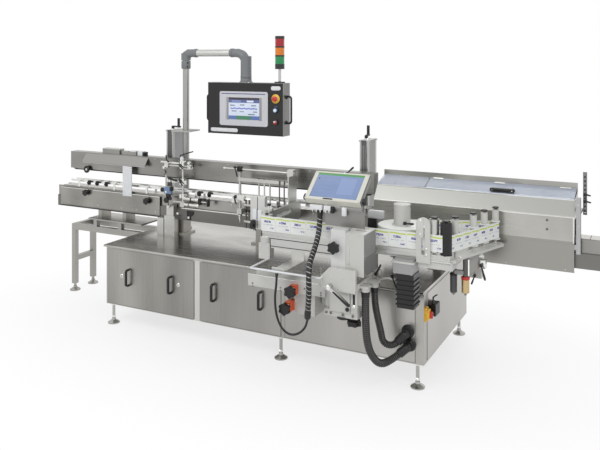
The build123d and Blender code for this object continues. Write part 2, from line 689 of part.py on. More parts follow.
# Main beam of the label head, a slotted profile along X, with the cable tray under it
tray_z = rail_top + 72.0
tray_left = 150.0
tray_right = 240.0
tray_front = -395.0
beam_foot = head_plate_z - 50.0
strap_back = head_front + 24.0
with BuildPart() as head_beam:
    block(turn_x - 20, 1000, head_front, head_front + 40, beam_low, beam_high)
    block(turn_x - 21, 1001, head_front - 1, head_front + 6, beam_low + 15, beam_low + 23, Mode.SUBTRACT)
    block(turn_x - 21, 1001, head_front + 16, head_front + 24, beam_high - 6, beam_high + 1, Mode.SUBTRACT)
    block(0, 500, head_front + 8, head_front + 36, beam_foot, beam_low)
    block(tray_left, tray_right, strap_back - 6, strap_back, tray_z, beam_foot)
    block(tray_left, tray_right, tray_front, strap_back, tray_z, tray_z + 6)
    for y in (tray_front, strap_back - 6):
        block(tray_left, tray_right, y, y + 6, tray_z, tray_z + 24)
    rod(178, -383, tray_z - 12, 24, 12)
head_beam.part.label = "head_beam"
export_step(head_beam.part, "parts/head_beam.step")


def web_corner(x, y, radius, heading_in, heading_out):
    """Returns the corner of two runs of the web that touch one roller on their left."""
    middle = radians((heading_in + heading_out) / 2)
    reach = radius / cos(radians(heading_out - heading_in) / 2)
    return (x + reach * sin(middle), y - reach * cos(middle))


# Rollers that the web runs over, each tangent to it
web_line = head_front - 1.5
web_gap = web_sheet / 2 + seat_gap
turn_y = web_line + web_gap + turn_diameter / 2
pinch_x = 1099.0
pinch_diameter = 56.0
pinch_y = web_line + web_gap + pinch_diameter / 2
drive_x = 1169.0
drive_y = web_line + web_gap + roller_diameter / 2
run_x = cos(radians(run_heading))
run_y = sin(radians(run_heading))


def run_place(distance, diameter):
    """Returns the centre of a roller behind the web's slanted run."""
    out = roller_diameter / 2 + web_gap
    back = diameter / 2 + web_gap
    x = drive_x + (out - back) * run_y + distance * run_x
    y = drive_y - (out - back) * run_x + distance * run_y
    return (x, y)


guide_places = [run_place(distance, guide_roller_diameter) for distance in (78.0, 270.0, 390.0)]
last_x, last_y = run_place(520.0, guide_roller_diameter)
guide_places.append((last_x, last_y))
reach_x = reel_x - last_x
reach_y = reel_y - last_y
roll_gap = reel_diameter / 2 - guide_roller_diameter / 2
spread = degrees(asin(roll_gap / (reach_x ** 2 + reach_y ** 2) ** 0.5))
return_heading = degrees(atan2(reach_y, reach_x)) + 360 - spread

# Plate of the head with the bracket in front of the rollers and the arm under the web's run
with BuildPart() as head_plate:
    block(640, 1230, head_front + 10, 190, head_plate_z, plate_top)
    block(640, 1001, head_front, head_front + 40, plate_top, plate_top + 2)
    arm_half = 34.0
    arm_x, arm_y = run_place(0, guide_roller_diameter)
    with BuildSketch(Plane(origin=(arm_x, arm_y, head_plate_z), x_dir=(run_x, run_y, 0), z_dir=(0, 0, 1))) as arm:
        with Locations((276, 0)):
            SlotOverall(552 + 2 * arm_half, 2 * arm_half)
    extrude(arm.sketch, amount=plate_top - head_plate_z)
    with BuildSketch(Plane.XZ.offset(-(head_front - 4))) as bracket:
        with BuildLine():
            Polyline((1000, head_plate_z - 13), (1085, head_plate_z - 13), (1085, head_plate_z + 211))
            ThreePointArc((1085, head_plate_z + 211), (1042.5, head_plate_z + 254), (1000, head_plate_z + 211))
            Line((1000, head_plate_z + 211), (1000, head_plate_z - 13))
        make_face()
        with Locations((1042, head_plate_z + 122)):
            SlotOverall(180, 22, rotation=90, mode=Mode.SUBTRACT)
    extrude(bracket.sketch, amount=12)
    block(1010, 1215, head_front - 4, head_front + 90, head_plate_z - 43, head_plate_z)
    block(1060, 1200, head_front - 4, head_front + 10, head_plate_z, head_plate_z + 40)
    clamp_x, clamp_y = run_place(300, guide_roller_diameter)
    block(clamp_x - 37, clamp_x + 37, clamp_y - 20, clamp_y + 20, head_plate_z - 150, head_plate_z)
    for x, y in guide_places:
        rod(x, y, plate_top, 14, 232)
head_plate.part.label = "head_plate"
export_step(head_plate.part, "parts/head_plate.step")

# Turning roller at the left end
with BuildPart() as turning_roller:
    rod(turn_x, turn_y, beam_high + seat_gap, turn_diameter, 104)
turning_roller.part.label = "turning_roller"
export_step(turning_roller.part, "parts/turning_roller.step")

# Peel arm that reaches from the roller to the bottles, with the post under it
with BuildPart() as peel_arm:
    rod(turn_x, turn_y, head_plate_z - 22, 92, beam_low - head_plate_z + 22)
    block(turn_x - 42, turn_x + 42, head_front + 2, head_front + 60, head_plate_z - 128, head_plate_z - 22)
    plate_y = turn_y + turn_diameter / 2 + 8
    with BuildSketch(Plane.YZ.offset(turn_x - 36)) as plate:
        with BuildLine():
            Polyline((plate_y, beam_low), (plate_y, beam_high + 40), (plate_y + 60, web_bottom + web_height))
            Polyline((plate_y + 60, web_bottom + web_height), (430, web_bottom + web_height), (430, web_bottom - 8))
            Polyline((430, web_bottom - 8), (380, beam_low), (plate_y, beam_low))
        make_face()
        with Locations(((plate_y + 430) / 2, web_bottom + web_height / 2)):
            SlotOverall(240, 34, mode=Mode.SUBTRACT)
    extrude(plate.sketch, amount=12)
    block(turn_x - 36, turn_x + 30, head_front + 40, head_front + 100, beam_low, beam_high)
peel_arm.part.label = "peel_arm"
export_step(peel_arm.part, "parts/peel_arm.step")

# Label web from the roll over the guide, drive and turning rollers to the peel edge
with BuildPart() as label_web:
    turn_radius = turn_diameter / 2 + web_gap
    drive_radius = roller_diameter / 2 + web_gap
    last_radius = guide_roller_diameter / 2 + web_gap
    first_corner = web_corner(turn_x, turn_y, turn_radius, -90, 0)
    second_corner = web_corner(drive_x, drive_y, drive_radius, 0, run_heading)
    third_corner = web_corner(last_x, last_y, last_radius, run_heading, return_heading)
    roll_radius = reel_diameter / 2 + web_gap
    roll_x = reel_x + roll_radius * sin(radians(return_heading))
    roll_y = reel_y - roll_radius * cos(radians(return_heading))
    with BuildLine() as path:
        FilletPolyline(
            (turn_x - turn_radius, 420), first_corner, second_corner, third_corner, (roll_x, roll_y),
            radius=[turn_radius, drive_radius, last_radius])
    start = (turn_x - turn_radius, 420, web_bottom)
    with BuildSketch(Plane(origin=start, x_dir=(1, 0, 0), z_dir=(0, -1, 0))) as strip:
        with Locations((0, web_height / 2)):
            Rectangle(web_sheet, web_height)
    sweep(strip.sketch, path=path.wires()[0].moved(Location((0, 0, web_bottom))))
label_web.part.label = "label_web"
export_step(label_web.part, "parts/label_web.step")

# Reel with hub and label roll
with BuildPart() as reel_hub:
    rod(reel_x, reel_y, plate_top + seat_gap, 60, web_bottom - plate_top - seat_gap)
    rod(reel_x, reel_y, web_bottom - 4, 200, 4)
    rod(reel_x, reel_y, web_bottom, 104, 228)
    block(reel_x - 60, reel_x + 60, reel_y - 9, reel_y + 9, web_bottom + 214, web_bottom + 230, Mode.SUBTRACT)
reel_hub.part.label = "reel_hub"
export_step(reel_hub.part, "parts/reel_hub.step")

with BuildPart() as label_roll:
    rod(reel_x, reel_y, web_bottom, reel_diameter, web_height)
    rod(reel_x, reel_y, web_bottom - 1, 104, web_height + 2, "Z", Mode.SUBTRACT)
label_roll.part.label = "label_roll"
export_step(label_roll.part, "parts/label_roll.step")

with BuildPart() as pinch_roller:
    rod(pinch_x, pinch_y, plate_top + seat_gap, 20, 237)
    rod(pinch_x, pinch_y, plate_top + 35, pinch_diameter, 195)
pinch_roller.part.label = "pinch_roller"
export_step(pinch_roller.part, "parts/pinch_roller.step")

with BuildPart() as drive_roller:
    rod(drive_x, drive_y, plate_top + seat_gap, 20, 227)
    rod(drive_x, drive_y, plate_top + 25, roller_diameter, 190)
drive_roller.part.label = "drive_roller"
export_step(drive_roller.part, "parts/drive_roller.step")

with BuildPart() as guide_rollers:
    for x, y in guide_places:
        rod(x, y, plate_top + 30, guide_roller_diameter, 190)
        rod(x, y, plate_top + 29, 14 + 2 * seat_gap, 192, "Z", Mode.SUBTRACT)
guide_rollers.part.label = "guide_rollers"
export_step(guide_rollers.part, "parts/guide_rollers.step")

# Drive motor under the head plate, with cooling ribs
motor_left = 892.0
motor_right = 997.0
with BuildPart() as drive_motor:
    block(motor_left, motor_right, -200, -95, head_plate_z - 287, head_plate_z - 83)
    for i in range(6):
        z = head_plate_z - 270 + i * 28
        block(motor_left - 6, motor_right + 6, -206, -89, z, z + 8)
    block(motor_left - 22, motor_right - 5, -205, -75, head_plate_z - 83, head_plate_z)
drive_motor.part.label = "drive_motor"
export_step(drive_motor.part, "parts/drive_motor.step")

# Filter and regulator under the plate
with BuildPart() as air_regulator:
    rod(1178, 10, head_plate_z - 210, 42, 108)
    rod(1178, 10, head_plate_z - 102, 30, 102)
    rod(1250, 10, head_plate_z - 205, 46, 94)
    rod(1250, 10, head_plate_z - 111, 30, 111)
    rod(1178, 10, head_plate_z - 90, 14, 72, "X")
air_regulator.part.label = "air_regulator"
export_step(air_regulator.part, "parts/air_regulator.step")

# Rod guard in front of the stage
guard_z = rail_top + 75.0
guard_y = -412.0
with BuildPart() as rod_guard:
    with BuildLine() as bend:
        FilletPolyline((485, -377, guard_z), (485, guard_y, guard_z), (4, guard_y, guard_z), (4, head_front - 24, guard_z), radius=14)
    with BuildSketch(Plane(origin=(485, -377, guard_z), x_dir=(1, 0, 0), z_dir=(0, -1, 0))) as section:
        Circle(6)
    sweep(section.sketch, path=bend.wires()[0])
rod_guard.part.label = "rod_guard"
export_step(rod_guard.part, "parts/rod_guard.step")

# First station at the left column: post, sensor bracket and clamp rods
with BuildPart() as guide_station:
    block(-1315, -1214, 430, 484, table_height, table_height + 155)
    block(-1300, -1230, 440, beam_front, table_height + 155, beam_bottom + 117)
    block(-1386, -1322, 430, 470, table_height, table_height + 132)
    rod(-1135, 440, beam_bottom + 117, 14, 337)
    block(-1155, -1115, 425, plate_front, beam_bottom + 120, beam_bottom + 150)
    block(-1230, -1120, 434, 446, beam_bottom + 150, beam_bottom + 162)
    block(-1300, -1268, 424, 456, beam_bottom + 162, beam_bottom + 272)
    block(-1268, -1128, 434, 446, beam_bottom + 240, beam_bottom + 252)
    rod(-1304, 440, beam_bottom + 443, 14, 250, "X")
    rod(-1304, 440, beam_bottom + 272, 14, 178)
guide_station.part.label = "guide_station"
export_step(guide_station.part, "parts/guide_station.step")

# Second station beside the label head: posts, cross rod, black bar, clamp blocks and curved guard plate
cross_z = head_plate_z + 352.0
with BuildPart() as peel_station:
    rod(-586, 420, head_plate_z - 28, 14, cross_z - head_plate_z + 43)
    rod(-732, 420, cross_z, 14, 620, "X")
    block(-606, -566, 405, plate_front, head_plate_z + 12, head_plate_z + 52)
    block(-600, -154, 412, 428, cross_z - 88, cross_z - 62)
    for x in (-418, -323):
        rod(x, 420, head_plate_z + 60, 12, cross_z - 62 - head_plate_z - 60)
    block(-470, -300, 410, 430, head_plate_z + 60, head_plate_z + 100)
    block(-170, -120, 405, 448, cross_z - 26, cross_z + 24)
    block(-170, -154, 412, 428, cross_z - 88, cross_z)
    with BuildSketch(Plane.XY.offset(head_plate_z + 2)) as guard:
        with BuildLine():
            Polyline((-179, 436), (-118, 436))
            RadiusArc((-118, 436), (-100, 418), 18)
            Line((-100, 418), (-100, 300))
            Line((-100, 300), (-103, 300))
            Line((-103, 300), (-103, 418))
            RadiusArc((-103, 418), (-118, 433), -15)
            Line((-118, 433), (-179, 433))
            Line((-179, 433), (-179, 436))
        make_face()
    extrude(guard.sketch, amount=cross_z - head_plate_z - 10)
    block(-150, -110, 436, plate_front, head_plate_z + 12, head_plate_z + 52)
peel_station.part.label = "peel_station"
export_step(peel_station.part, "parts/peel_station.step")


def cord(points, diameter, name):
    """Adds one cord as a round tube along straight runs joined by tangent arcs."""
    places = [Vector(*point) for point in points]
    radii = []
    for i in range(1, len(places) - 1):
        before = places[i] - places[i - 1]
        after = places[i + 1] - places[i]
        turn = radians(before.get_angle(after))
        radii.append(0.45 * min(before.length, after.length) / tan(turn / 2))
    with BuildLine() as route:
        FilletPolyline(*points, radius=radii)
    with BuildSketch(Plane(origin=points[0], z_dir=(places[1] - places[0]).normalized())) as section:
        Circle(diameter / 2)
    sweep(section.sketch, path=route.wires()[0])
    print(name, "radii", [round(radius) for radius in radii], "length", round(route.wires()[0].length))
    return section.sketch.area * route.wires()[0].length


def past(origin, away, reach):
    """Returns the point at a distance from a place along a direction."""
    return Vector(*origin) + away * reach


# Two corrugated hoses from the stage to the cabinet front
upper_x, upper_z, upper_dir, upper_reach = hose_elbows[0]
lower_x, lower_z, lower_dir, lower_reach = hose_elbows[1]
upper_elbow = (upper_x, elbow_y, upper_z)
lower_elbow = (lower_x, elbow_y, lower_z)
with BuildPart() as inner_hose:
    inner_volume = cord(
        ((*inner_hose_top, gland_z), (*inner_hose_top, 556), (758, -172, 460), (775.5, -156.2, 364.7), (783.9, -152.1, 310.5),
         (801.3, -143.6, 288.6), (826.5, -131.4, 280), past(upper_elbow, upper_dir, upper_reach + 29),
         past(upper_elbow, upper_dir, upper_reach)), hose_diameter - 4, "inner_hose")
print("inner_hose volume", round(inner_hose.part.volume), round(inner_volume))
inner_hose.part.label = "inner_hose"
export_step(inner_hose.part, "parts/inner_hose.step")

with BuildPart() as outer_hose:
    outer_volume = cord(
        ((*outer_hose_top, gland_z), (*outer_hose_top, 545), (735, -300, 440), (738, -290, 345), (752, -262, 255),
         (788, -210, 185), past(lower_elbow, lower_dir, lower_reach + 75), past(lower_elbow, lower_dir, lower_reach)),
        hose_diameter, "outer_hose")
print("outer_hose volume", round(outer_hose.part.volume), round(outer_volume))
outer_hose.part.label = "outer_hose"
export_step(outer_hose.part, "parts/outer_hose.step")

# Wrapped cable bundle from the operator panel, and the thin cable that loops back to the tray
bundle_diameter = 34.0
bundle_last = (412.0, -419.0, 530.0)
bundle_end = (400.0, -402.0, 468.0)
bundle_way = (Vector(*bundle_end) - Vector(*bundle_last)).normalized()
with BuildPart() as panel_cable:
    panel_volume = cord(
        ((cable_gland_x, panel_axis_y, yoke_low - cable_gland_drop), (cable_gland_x, panel_axis_y, 1005), (402, -256, 925), (411, -330, 858),
         (424, -425, 800), (434, -456, 735), (434, -452, 665), (426, -438, 595), bundle_last, bundle_end),
        bundle_diameter, "panel_cable")
print("panel_cable volume", round(panel_cable.part.volume), round(panel_volume))
panel_cable.part.label = "panel_cable"
export_step(panel_cable.part, "parts/panel_cable.step")

with BuildPart() as handwheel_cable:
    loop_volume = cord(
        (bundle_end, past(bundle_end, bundle_way, 58), (350, -394, 362), (292, -400, 338), (236, -403, 358), (197, -404, 415), (180, -404, 490),
         (175, -400, 565), (178, -383, 637), (178, -383, tray_z - 12)), 14, "handwheel_cable")
print("handwheel_cable volume", round(handwheel_cable.part.volume), round(loop_volume))
handwheel_cable.part.label = "handwheel_cable"
export_step(handwheel_cable.part, "parts/handwheel_cable.step")
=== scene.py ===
import math
from itertools import product

import bmesh
import bpy
from mathutils import Matrix, Vector


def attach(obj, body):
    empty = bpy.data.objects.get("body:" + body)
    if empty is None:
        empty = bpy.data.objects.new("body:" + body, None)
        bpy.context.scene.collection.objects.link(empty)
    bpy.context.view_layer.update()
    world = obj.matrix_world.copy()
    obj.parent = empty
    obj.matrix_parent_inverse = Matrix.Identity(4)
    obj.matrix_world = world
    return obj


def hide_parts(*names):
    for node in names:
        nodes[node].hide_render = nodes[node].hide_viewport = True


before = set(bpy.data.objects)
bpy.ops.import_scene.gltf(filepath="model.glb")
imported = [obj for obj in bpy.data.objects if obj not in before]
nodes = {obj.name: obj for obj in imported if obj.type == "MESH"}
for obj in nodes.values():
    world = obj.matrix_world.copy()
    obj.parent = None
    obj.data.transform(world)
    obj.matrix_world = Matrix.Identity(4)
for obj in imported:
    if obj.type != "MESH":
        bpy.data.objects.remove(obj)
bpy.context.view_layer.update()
print("frame loaded")

mm = 0.001

# Camera at the photograph's place, level, with a shift that keeps the verticals upright
camera = {"place": (2.327, -4.266, 2.000), "turn": 27.1, "lens": 43.14, "shift": -0.2717}


def makeCamera():
    data = bpy.data.cameras.new("viewCamera")
    data.lens, data.sensor_width = camera["lens"], 36
    data.shift_y = camera["shift"]
    data.clip_end = 60
    seen = bpy.data.objects.new("viewCamera", data)
    seen.location = camera["place"]
    seen.rotation_euler = (math.radians(90), 0, math.radians(camera["turn"]))
    bpy.context.scene.collection.objects.link(seen)
    bpy.context.scene.camera = seen


makeCamera()


# Shader helpers: a Signal is one value in a material, and sums on it add Math nodes
class Signal:
    def __init__(self, tree, socket):
        self.tree, self.socket = tree, socket

    def math(self, operation, other=None, swapped=False):
        node = self.tree.nodes.new("ShaderNodeMath")
        node.operation = operation
        pair = (other, self) if swapped else (self, other)
        for entry, value in zip(node.inputs, pair):
            if isinstance(value, Signal):
                self.tree.links.new(value.socket, entry)
            elif value is not None:
                entry.default_value = value
        return Signal(self.tree, node.outputs[0])

    def __add__(self, other):
        return self.math("ADD", other)

    def __radd__(self, other):
        return self.math("ADD", other, True)

    def __sub__(self, other):
        return self.math("SUBTRACT", other)

    def __rsub__(self, other):
        return self.math("SUBTRACT", other, True)

    def __mul__(self, other):
        return self.math("MULTIPLY", other)

    def __rmul__(self, other):
        return self.math("MULTIPLY", other, True)

    def __truediv__(self, other):
        return self.math("DIVIDE", other)

    def above(self, edge):
        return self.math("GREATER_THAN", edge)

    def below(self, edge):
        return self.math("LESS_THAN", edge)

    def between(self, low, high):
        return self.above(low) * self.below(high)


class Finish:
    # a material under construction: its tree, its shader and the place on the piece
    def __init__(self, name, **fixed):
        self.material = bpy.data.materials.new(name)
        self.material.use_nodes = True
        self.tree = self.material.node_tree
        self.shader = self.tree.nodes["Principled BSDF"]
        for socketName, value in fixed.items():
            self.shader.inputs[socketName.replace("_", " ")].default_value = value
        coordinates = self.tree.nodes.new("ShaderNodeTexCoord")
        self.place = Signal(self.tree, coordinates.outputs["Object"])
        split = self.node("ShaderNodeSeparateXYZ", None, i0=self.place)
        self.x, self.y, self.z = (Signal(self.tree, socket) for socket in split.outputs)

    def node(self, kind, settings=None, **inputs):
        made = self.tree.nodes.new(kind)
        for key, value in (settings or {}).items():
            setattr(made, key, value)
        for key, value in inputs.items():
            entry = made.inputs[int(key[1:])] if key[0] == "i" and key[1:].isdigit() else made.inputs[key]
            if isinstance(value, Signal):
                self.tree.links.new(value.socket, entry)
            else:
                entry.default_value = value
        return made

    def value(self, kind, settings=None, output=0, **inputs):
        return Signal(self.tree, self.node(kind, settings, **inputs).outputs[output])

    def noise(self, scale, stretch=(1, 1, 1), detail=3.0, roughness=0.5):
        stretched = self.value("ShaderNodeMapping", {}, Vector=self.place, Scale=stretch)
        return self.value("ShaderNodeTexNoise", {}, 0, Vector=stretched, Scale=scale, Detail=detail,
            Roughness=roughness)

    def mix(self, amount, low, high):
        return self.value("ShaderNodeMix", {"data_type": "RGBA"}, 2, i0=amount, i6=low, i7=high)

    def level(self, amount, fromLow, fromHigh, toLow, toHigh):
        return self.value("ShaderNodeMapRange", {}, 0, i0=amount, i1=fromLow, i2=fromHigh, i3=toLow, i4=toHigh)

    def lay(self, colour, rough, metal=0.0):
        self.colour, self.rough, self.metal = colour, rough, metal

    def over(self, mask, colour, rough=0.45, metal=0.0):
        # another finish wherever the mask is 1
        self.colour = self.mix(mask, self.colour, colour)
        self.rough = self.rough * (1 - mask) + mask * rough
        if not (isinstance(self.metal, float) and self.metal == metal):
            self.metal = self.metal * (1 - mask) + mask * metal
        return self

    def bump(self, height, strength=0.3, distance=0.001):
        made = self.node("ShaderNodeBump", {}, Height=height, Strength=strength, Distance=distance)
        self.tree.links.new(made.outputs["Normal"], self.shader.inputs["Normal"])
        return self

    def close(self):
        for socketName, value in (("Base Color", self.colour), ("Roughness", self.rough), ("Metallic", self.metal)):
            if isinstance(value, Signal):
                self.tree.links.new(value.socket, self.shader.inputs[socketName])
            else:
                self.shader.inputs[socketName].default_value = value
        return self.material


def lin(r, g, b, factor=1.0):
    # a colour as a screen shows it, 0 to 255, in the shader's own numbers
    shares = (c / 255 for c in (r, g, b))
    linear = (s / 12.92 if s <= 0.04045 else ((s + 0.055) / 1.055) ** 2.4 for s in shares)
    return (*(min(1.0, value * factor) for value in linear), 1.0)


def shaded(colour, factor):
    return (*(min(1.0, c * factor) for c in colour[:3]), 1.0)


# Soft studio: a pale floor, a white world for the eye and dimmer light for the object
studio = {
    "floorSize": 40, "worldLight": 0.62, "worldTint": (0.95, 0.97, 1.0, 1.0),
    "floorTone": (238, 238, 238), "shadowCentre": (-0.15, 0.45, 0), "shadowReach": (0.36, 0.62, 0),
    "shadowFade": (0.42, 1.05, 0.70, 1.0),
    "lamps": (
        # place, aim, size, watts
        ((-1.5, -3.4, 4.6), (-0.4, 0.3, 0.7), 2.6, 90),
        ((3.6, -2.6, 3.8), (0.6, 0.2, 0.8), 2.0, 48),
        ((0.2, 3.4, 4.2), (0.0, 0.5, 0.8), 3.0, 50),
    ),
}


def seenDirectly(tree):
    # 1 for rays that should meet the white background: from the eye, off metal or through plastic
    path = tree.nodes.new("ShaderNodeLightPath")
    kinds = ("Is Camera Ray", "Is Glossy Ray", "Is Transmission Ray")
    first, second, third = (Signal(tree, path.outputs[kind]) for kind in kinds)
    return first.math("MAXIMUM", second).math("MAXIMUM", third)


def makeStudio():
    scene = bpy.context.scene
    scene.view_settings.view_transform = "Standard"
    world = bpy.data.worlds.new("studioWorld")
    scene.world = world
    world.use_nodes = True
    tree = world.node_tree
    light = tree.nodes["Background"]
    light.inputs["Color"].default_value = studio["worldTint"]
    light.inputs["Strength"].default_value = studio["worldLight"]
    white = tree.nodes.new("ShaderNodeBackground")
    white.inputs["Color"].default_value = (1, 1, 1, 1)
    blend = tree.nodes.new("ShaderNodeMixShader")
    tree.links.new(seenDirectly(tree).socket, blend.inputs[0])
    tree.links.new(light.outputs[0], blend.inputs[1])
    tree.links.new(white.outputs[0], blend.inputs[2])
    tree.links.new(blend.outputs[0], tree.nodes["World Output"].inputs["Surface"])

    floorMesh = bpy.data.meshes.new("studioFloor")
    half = studio["floorSize"] / 2
    corners = [(-half, -half, 0), (half, -half, 0), (half, half, 0), (-half, half, 0)]
    floorMesh.from_pydata(corners, [], [(0, 1, 2, 3)])
    floor = bpy.data.objects.new("studioFloor", floorMesh)
    scene.collection.objects.link(floor)
    pale = Finish("paleFloor")
    tone = lin(*studio["floorTone"])
    pale.lay(pale.mix(pale.noise(3.0, detail=2.0), shaded(tone, 0.97), tone), 0.8)
    floorMesh.materials.append(pale.close())
    # the floor keeps the shadow near the machine and turns into plain white further out
    away = pale.node("ShaderNodeVectorMath", {"operation": "SUBTRACT"}, i0=pale.place, i1=studio["shadowCentre"])
    near = pale.node("ShaderNodeVectorMath", {"operation": "MULTIPLY"}, i0=Signal(pale.tree, away.outputs[0]),
        i1=studio["shadowReach"])
    far = pale.node("ShaderNodeVectorMath", {"operation": "LENGTH"}, i0=Signal(pale.tree, near.outputs[0]))
    whiteness = pale.level(Signal(pale.tree, far.outputs["Value"]), *studio["shadowFade"])
    glow = pale.tree.nodes.new("ShaderNodeEmission")
    glow.inputs["Color"].default_value = (1, 1, 1, 1)
    both = pale.tree.nodes.new("ShaderNodeMixShader")
    pale.tree.links.new((whiteness * seenDirectly(pale.tree)).socket, both.inputs[0])
    pale.tree.links.new(pale.shader.outputs[0], both.inputs[1])
    pale.tree.links.new(glow.outputs[0], both.inputs[2])
    pale.tree.links.new(both.outputs[0], pale.tree.nodes["Material Output"].inputs["Surface"])

    for number, (place, aim, size, watts) in enumerate(studio["lamps"]):
        data = bpy.data.lights.new("softLamp%d" % number, "AREA")
        data.energy, data.size = watts, size
        lamp = bpy.data.objects.new("softLamp%d" % number, data)
        lamp.location = place
        lamp.rotation_euler = (Vector(aim) - Vector(place)).to_track_quat("-Z", "Y").to_euler()
        scene.collection.objects.link(lamp)


makeStudio()
print("camera and studio ready")


# Finishes of the machine
def brushedSteel(name, shade, grain=(3, 240, 240), rough=0.32, contrast=0.20, cloud=(1.0, 1.0, 0.45)):
    steel = Finish(name)
    lines = steel.noise(1.0, grain, 5.0, 0.65)
    patches = steel.noise(1.7, cloud, 2.0)
    tone = steel.level(lines * 0.2 + patches * 0.8, 0.36, 0.64, 0.0, 1.0)
    steel.lay(steel.mix(tone, shaded(shade, 1 - contrast), shaded(shade, 1 + contrast)),
              steel.level(lines, 0.3, 0.7, rough - 0.06, rough + 0.09), 1.0)
    return steel.bump(lines, 0.05, 0.0005)


def paintedMetal(name, shade, rough=0.42, grain=0.10):
    paint = Finish(name)
    fine = paint.noise(900, detail=2.0)
    wear = paint.noise(7, detail=3.0)
    paint.lay(paint.mix(wear, shaded(shade, 0.90), shaded(shade, 1.04)),
              paint.level(wear, 0.3, 0.7, rough - 0.06, rough + 0.08), 0.0)
    return paint.bump(fine, grain, 0.0004)


def mouldedPlastic(name, shade, rough=0.45, coat=0.0):
    plastic = Finish(name, Coat_Weight=coat)
    fine = plastic.noise(600, detail=3.0)
    wear = plastic.noise(14, detail=4.0)
    plastic.lay(plastic.mix(wear, shaded(shade, 0.88), shaded(shade, 1.04)),
                plastic.level(wear, 0.3, 0.7, rough - 0.08, rough + 0.10), 0.0)
    return plastic.bump(fine, 0.08, 0.0004)


def clearPlastic(name, shade, low, high):
    clear = Finish(name, IOR=1.49)
    haze = clear.noise(5, detail=3.0)
    clear.lay(clear.mix(haze, shaded(shade, 0.94), shade), clear.level(haze, 0.3, 0.7, 0.05, 0.14), 0.0)
    alpha = clear.level(haze, 0.3, 0.7, low, high)
    clear.tree.links.new(alpha.socket, clear.shader.inputs["Alpha"])
    return clear


black, softBlack = lin(15, 15, 16), lin(28, 28, 29)

# Places in metres that the finishes draw at; the panel's plane is in millimetres, for its pieces too
printed = {"pitch": 0.112, "middle": (0.850, 0.020), "edge": 0.1488, "radius": 0.15, "top": 0.9855}
chainPitch = 0.0825
panelPlane = {"middle": (498, -170, 1210), "cos": 0.766, "sin": 0.643}
pendantPicture = {"left": -0.826, "wide": 0.282, "low": 1.540, "tall": 0.176}


def columnAlloy(name):
    # light extrusion; the front has a dark ribbed channel between two light edges
    alloy = brushedSteel(name, lin(178, 178, 175), (120, 120, 4), 0.38, 0.10)
    left, right = ((alloy.x - centre).math("ABSOLUTE") for centre in (-1.424, 0.341))
    channel = left.math("MINIMUM", right).below(0.021) * alloy.y.below(0.6464)
    ribs = (alloy.x * 285).math("FRACT").below(0.38)
    alloy.over(channel, lin(112, 114, 118), 0.4, 1.0)
    alloy.over(channel * ribs, lin(60, 62, 66), 0.5, 0.4)
    alloy.over(left.math("MINIMUM", right).above(0.0324) * alloy.y.between(0.672, 0.786), lin(146, 147, 146), 0.42,
        1.0)
    return alloy.over(alloy.y.above(0.8124), lin(150, 150, 150), 0.4, 1.0)


def lampStack(name):
    lamp = mouldedPlastic(name, lin(20, 20, 21), 0.32, 0.3)
    flutes = lamp.value("ShaderNodeTexWave", {"wave_type": "BANDS", "bands_direction": "X"}, 1, Vector=lamp.place,
        Scale=60)
    for low, high, colour in ((1.984, 2.042, (24, 150, 84)), (2.054, 2.112, (238, 134, 26)),
            (2.124, 2.182, (180, 26, 42))):
        lit = lamp.z.between(low, high)
        lamp.over(lit, lamp.mix(flutes, shaded(lin(*colour), 0.75), lin(*colour)), 0.22, 0.0)
    return lamp.over(lamp.z.between(1.8475, 1.9435), lin(190, 190, 188), 0.3, 1.0)


def labelPrint(name, along, upright):
    # a generic label: pale ground, a lime stripe, a broken violet line and small marks
    label = mouldedPlastic(name, lin(233, 234, 230), 0.5)
    spot = (along(label) / printed["pitch"]).math("FRACT")
    label.over(1 - spot.between(0.02, 0.98), lin(216, 218, 212), 0.5)
    wave = label.z - (spot * 6.283).math("SINE") * 0.0018
    label.over(wave.between(0.9665, 0.9750) * spot.between(0.04, 0.96) * upright(label), lin(192, 208, 88), 0.5)
    marks = label.noise(300, (1, 1, 0.5), 1.0)
    for edge, left, right, low, high, tone in ((0.42, 0.26, 0.70, 0.943, 0.957, (78, 80, 148)),
                                               (0.52, 0.10, 0.86, 0.927, 0.933, (168, 172, 190)),
                                               (0.45, 0.66, 0.90, 0.903, 0.914, (118, 122, 168))):
        mask = marks.above(edge) * spot.between(left, right) * label.z.between(low, high) * upright(label)
        label.over(mask, lin(*tone), 0.5)
    return label


def rollPrint(name):
    def fromMiddle(label):
        x, y = printed["middle"]
        return label.x - x, label.y - y

    def turnedAlong(label):
        east, north = fromMiddle(label)
        return north.math("ARCTAN2", east) * printed["radius"]

    def onSide(label):
        east, north = fromMiddle(label)
        return (east * east + north * north).above(printed["edge"] ** 2)

    roll = labelPrint(name, turnedAlong, onSide)
    layers = roll.noise(900, (1, 1, 0.01), 1.0)
    top = roll.z.above(printed["top"])
    return roll.over(top, roll.mix(layers, lin(226, 228, 220), lin(246, 247, 242)), 0.6)


def chainPlates(name):
    chain = brushedSteel(name, lin(186, 184, 178), (3, 240, 240), 0.30, 0.12)
    seam = (chain.x / chainPitch).math("FRACT").below(0.045)
    pin = (chain.x / chainPitch + 0.5).math("FRACT").below(0.05)
    chain.over(seam, lin(40, 40, 40), 0.6, 0.0)
    return chain.over(pin * chain.z.below(0.9005), lin(90, 90, 90), 0.5, 1.0)


def screenFace(name, ground):
    return mouldedPlastic(name, ground, 0.16, 0.5)


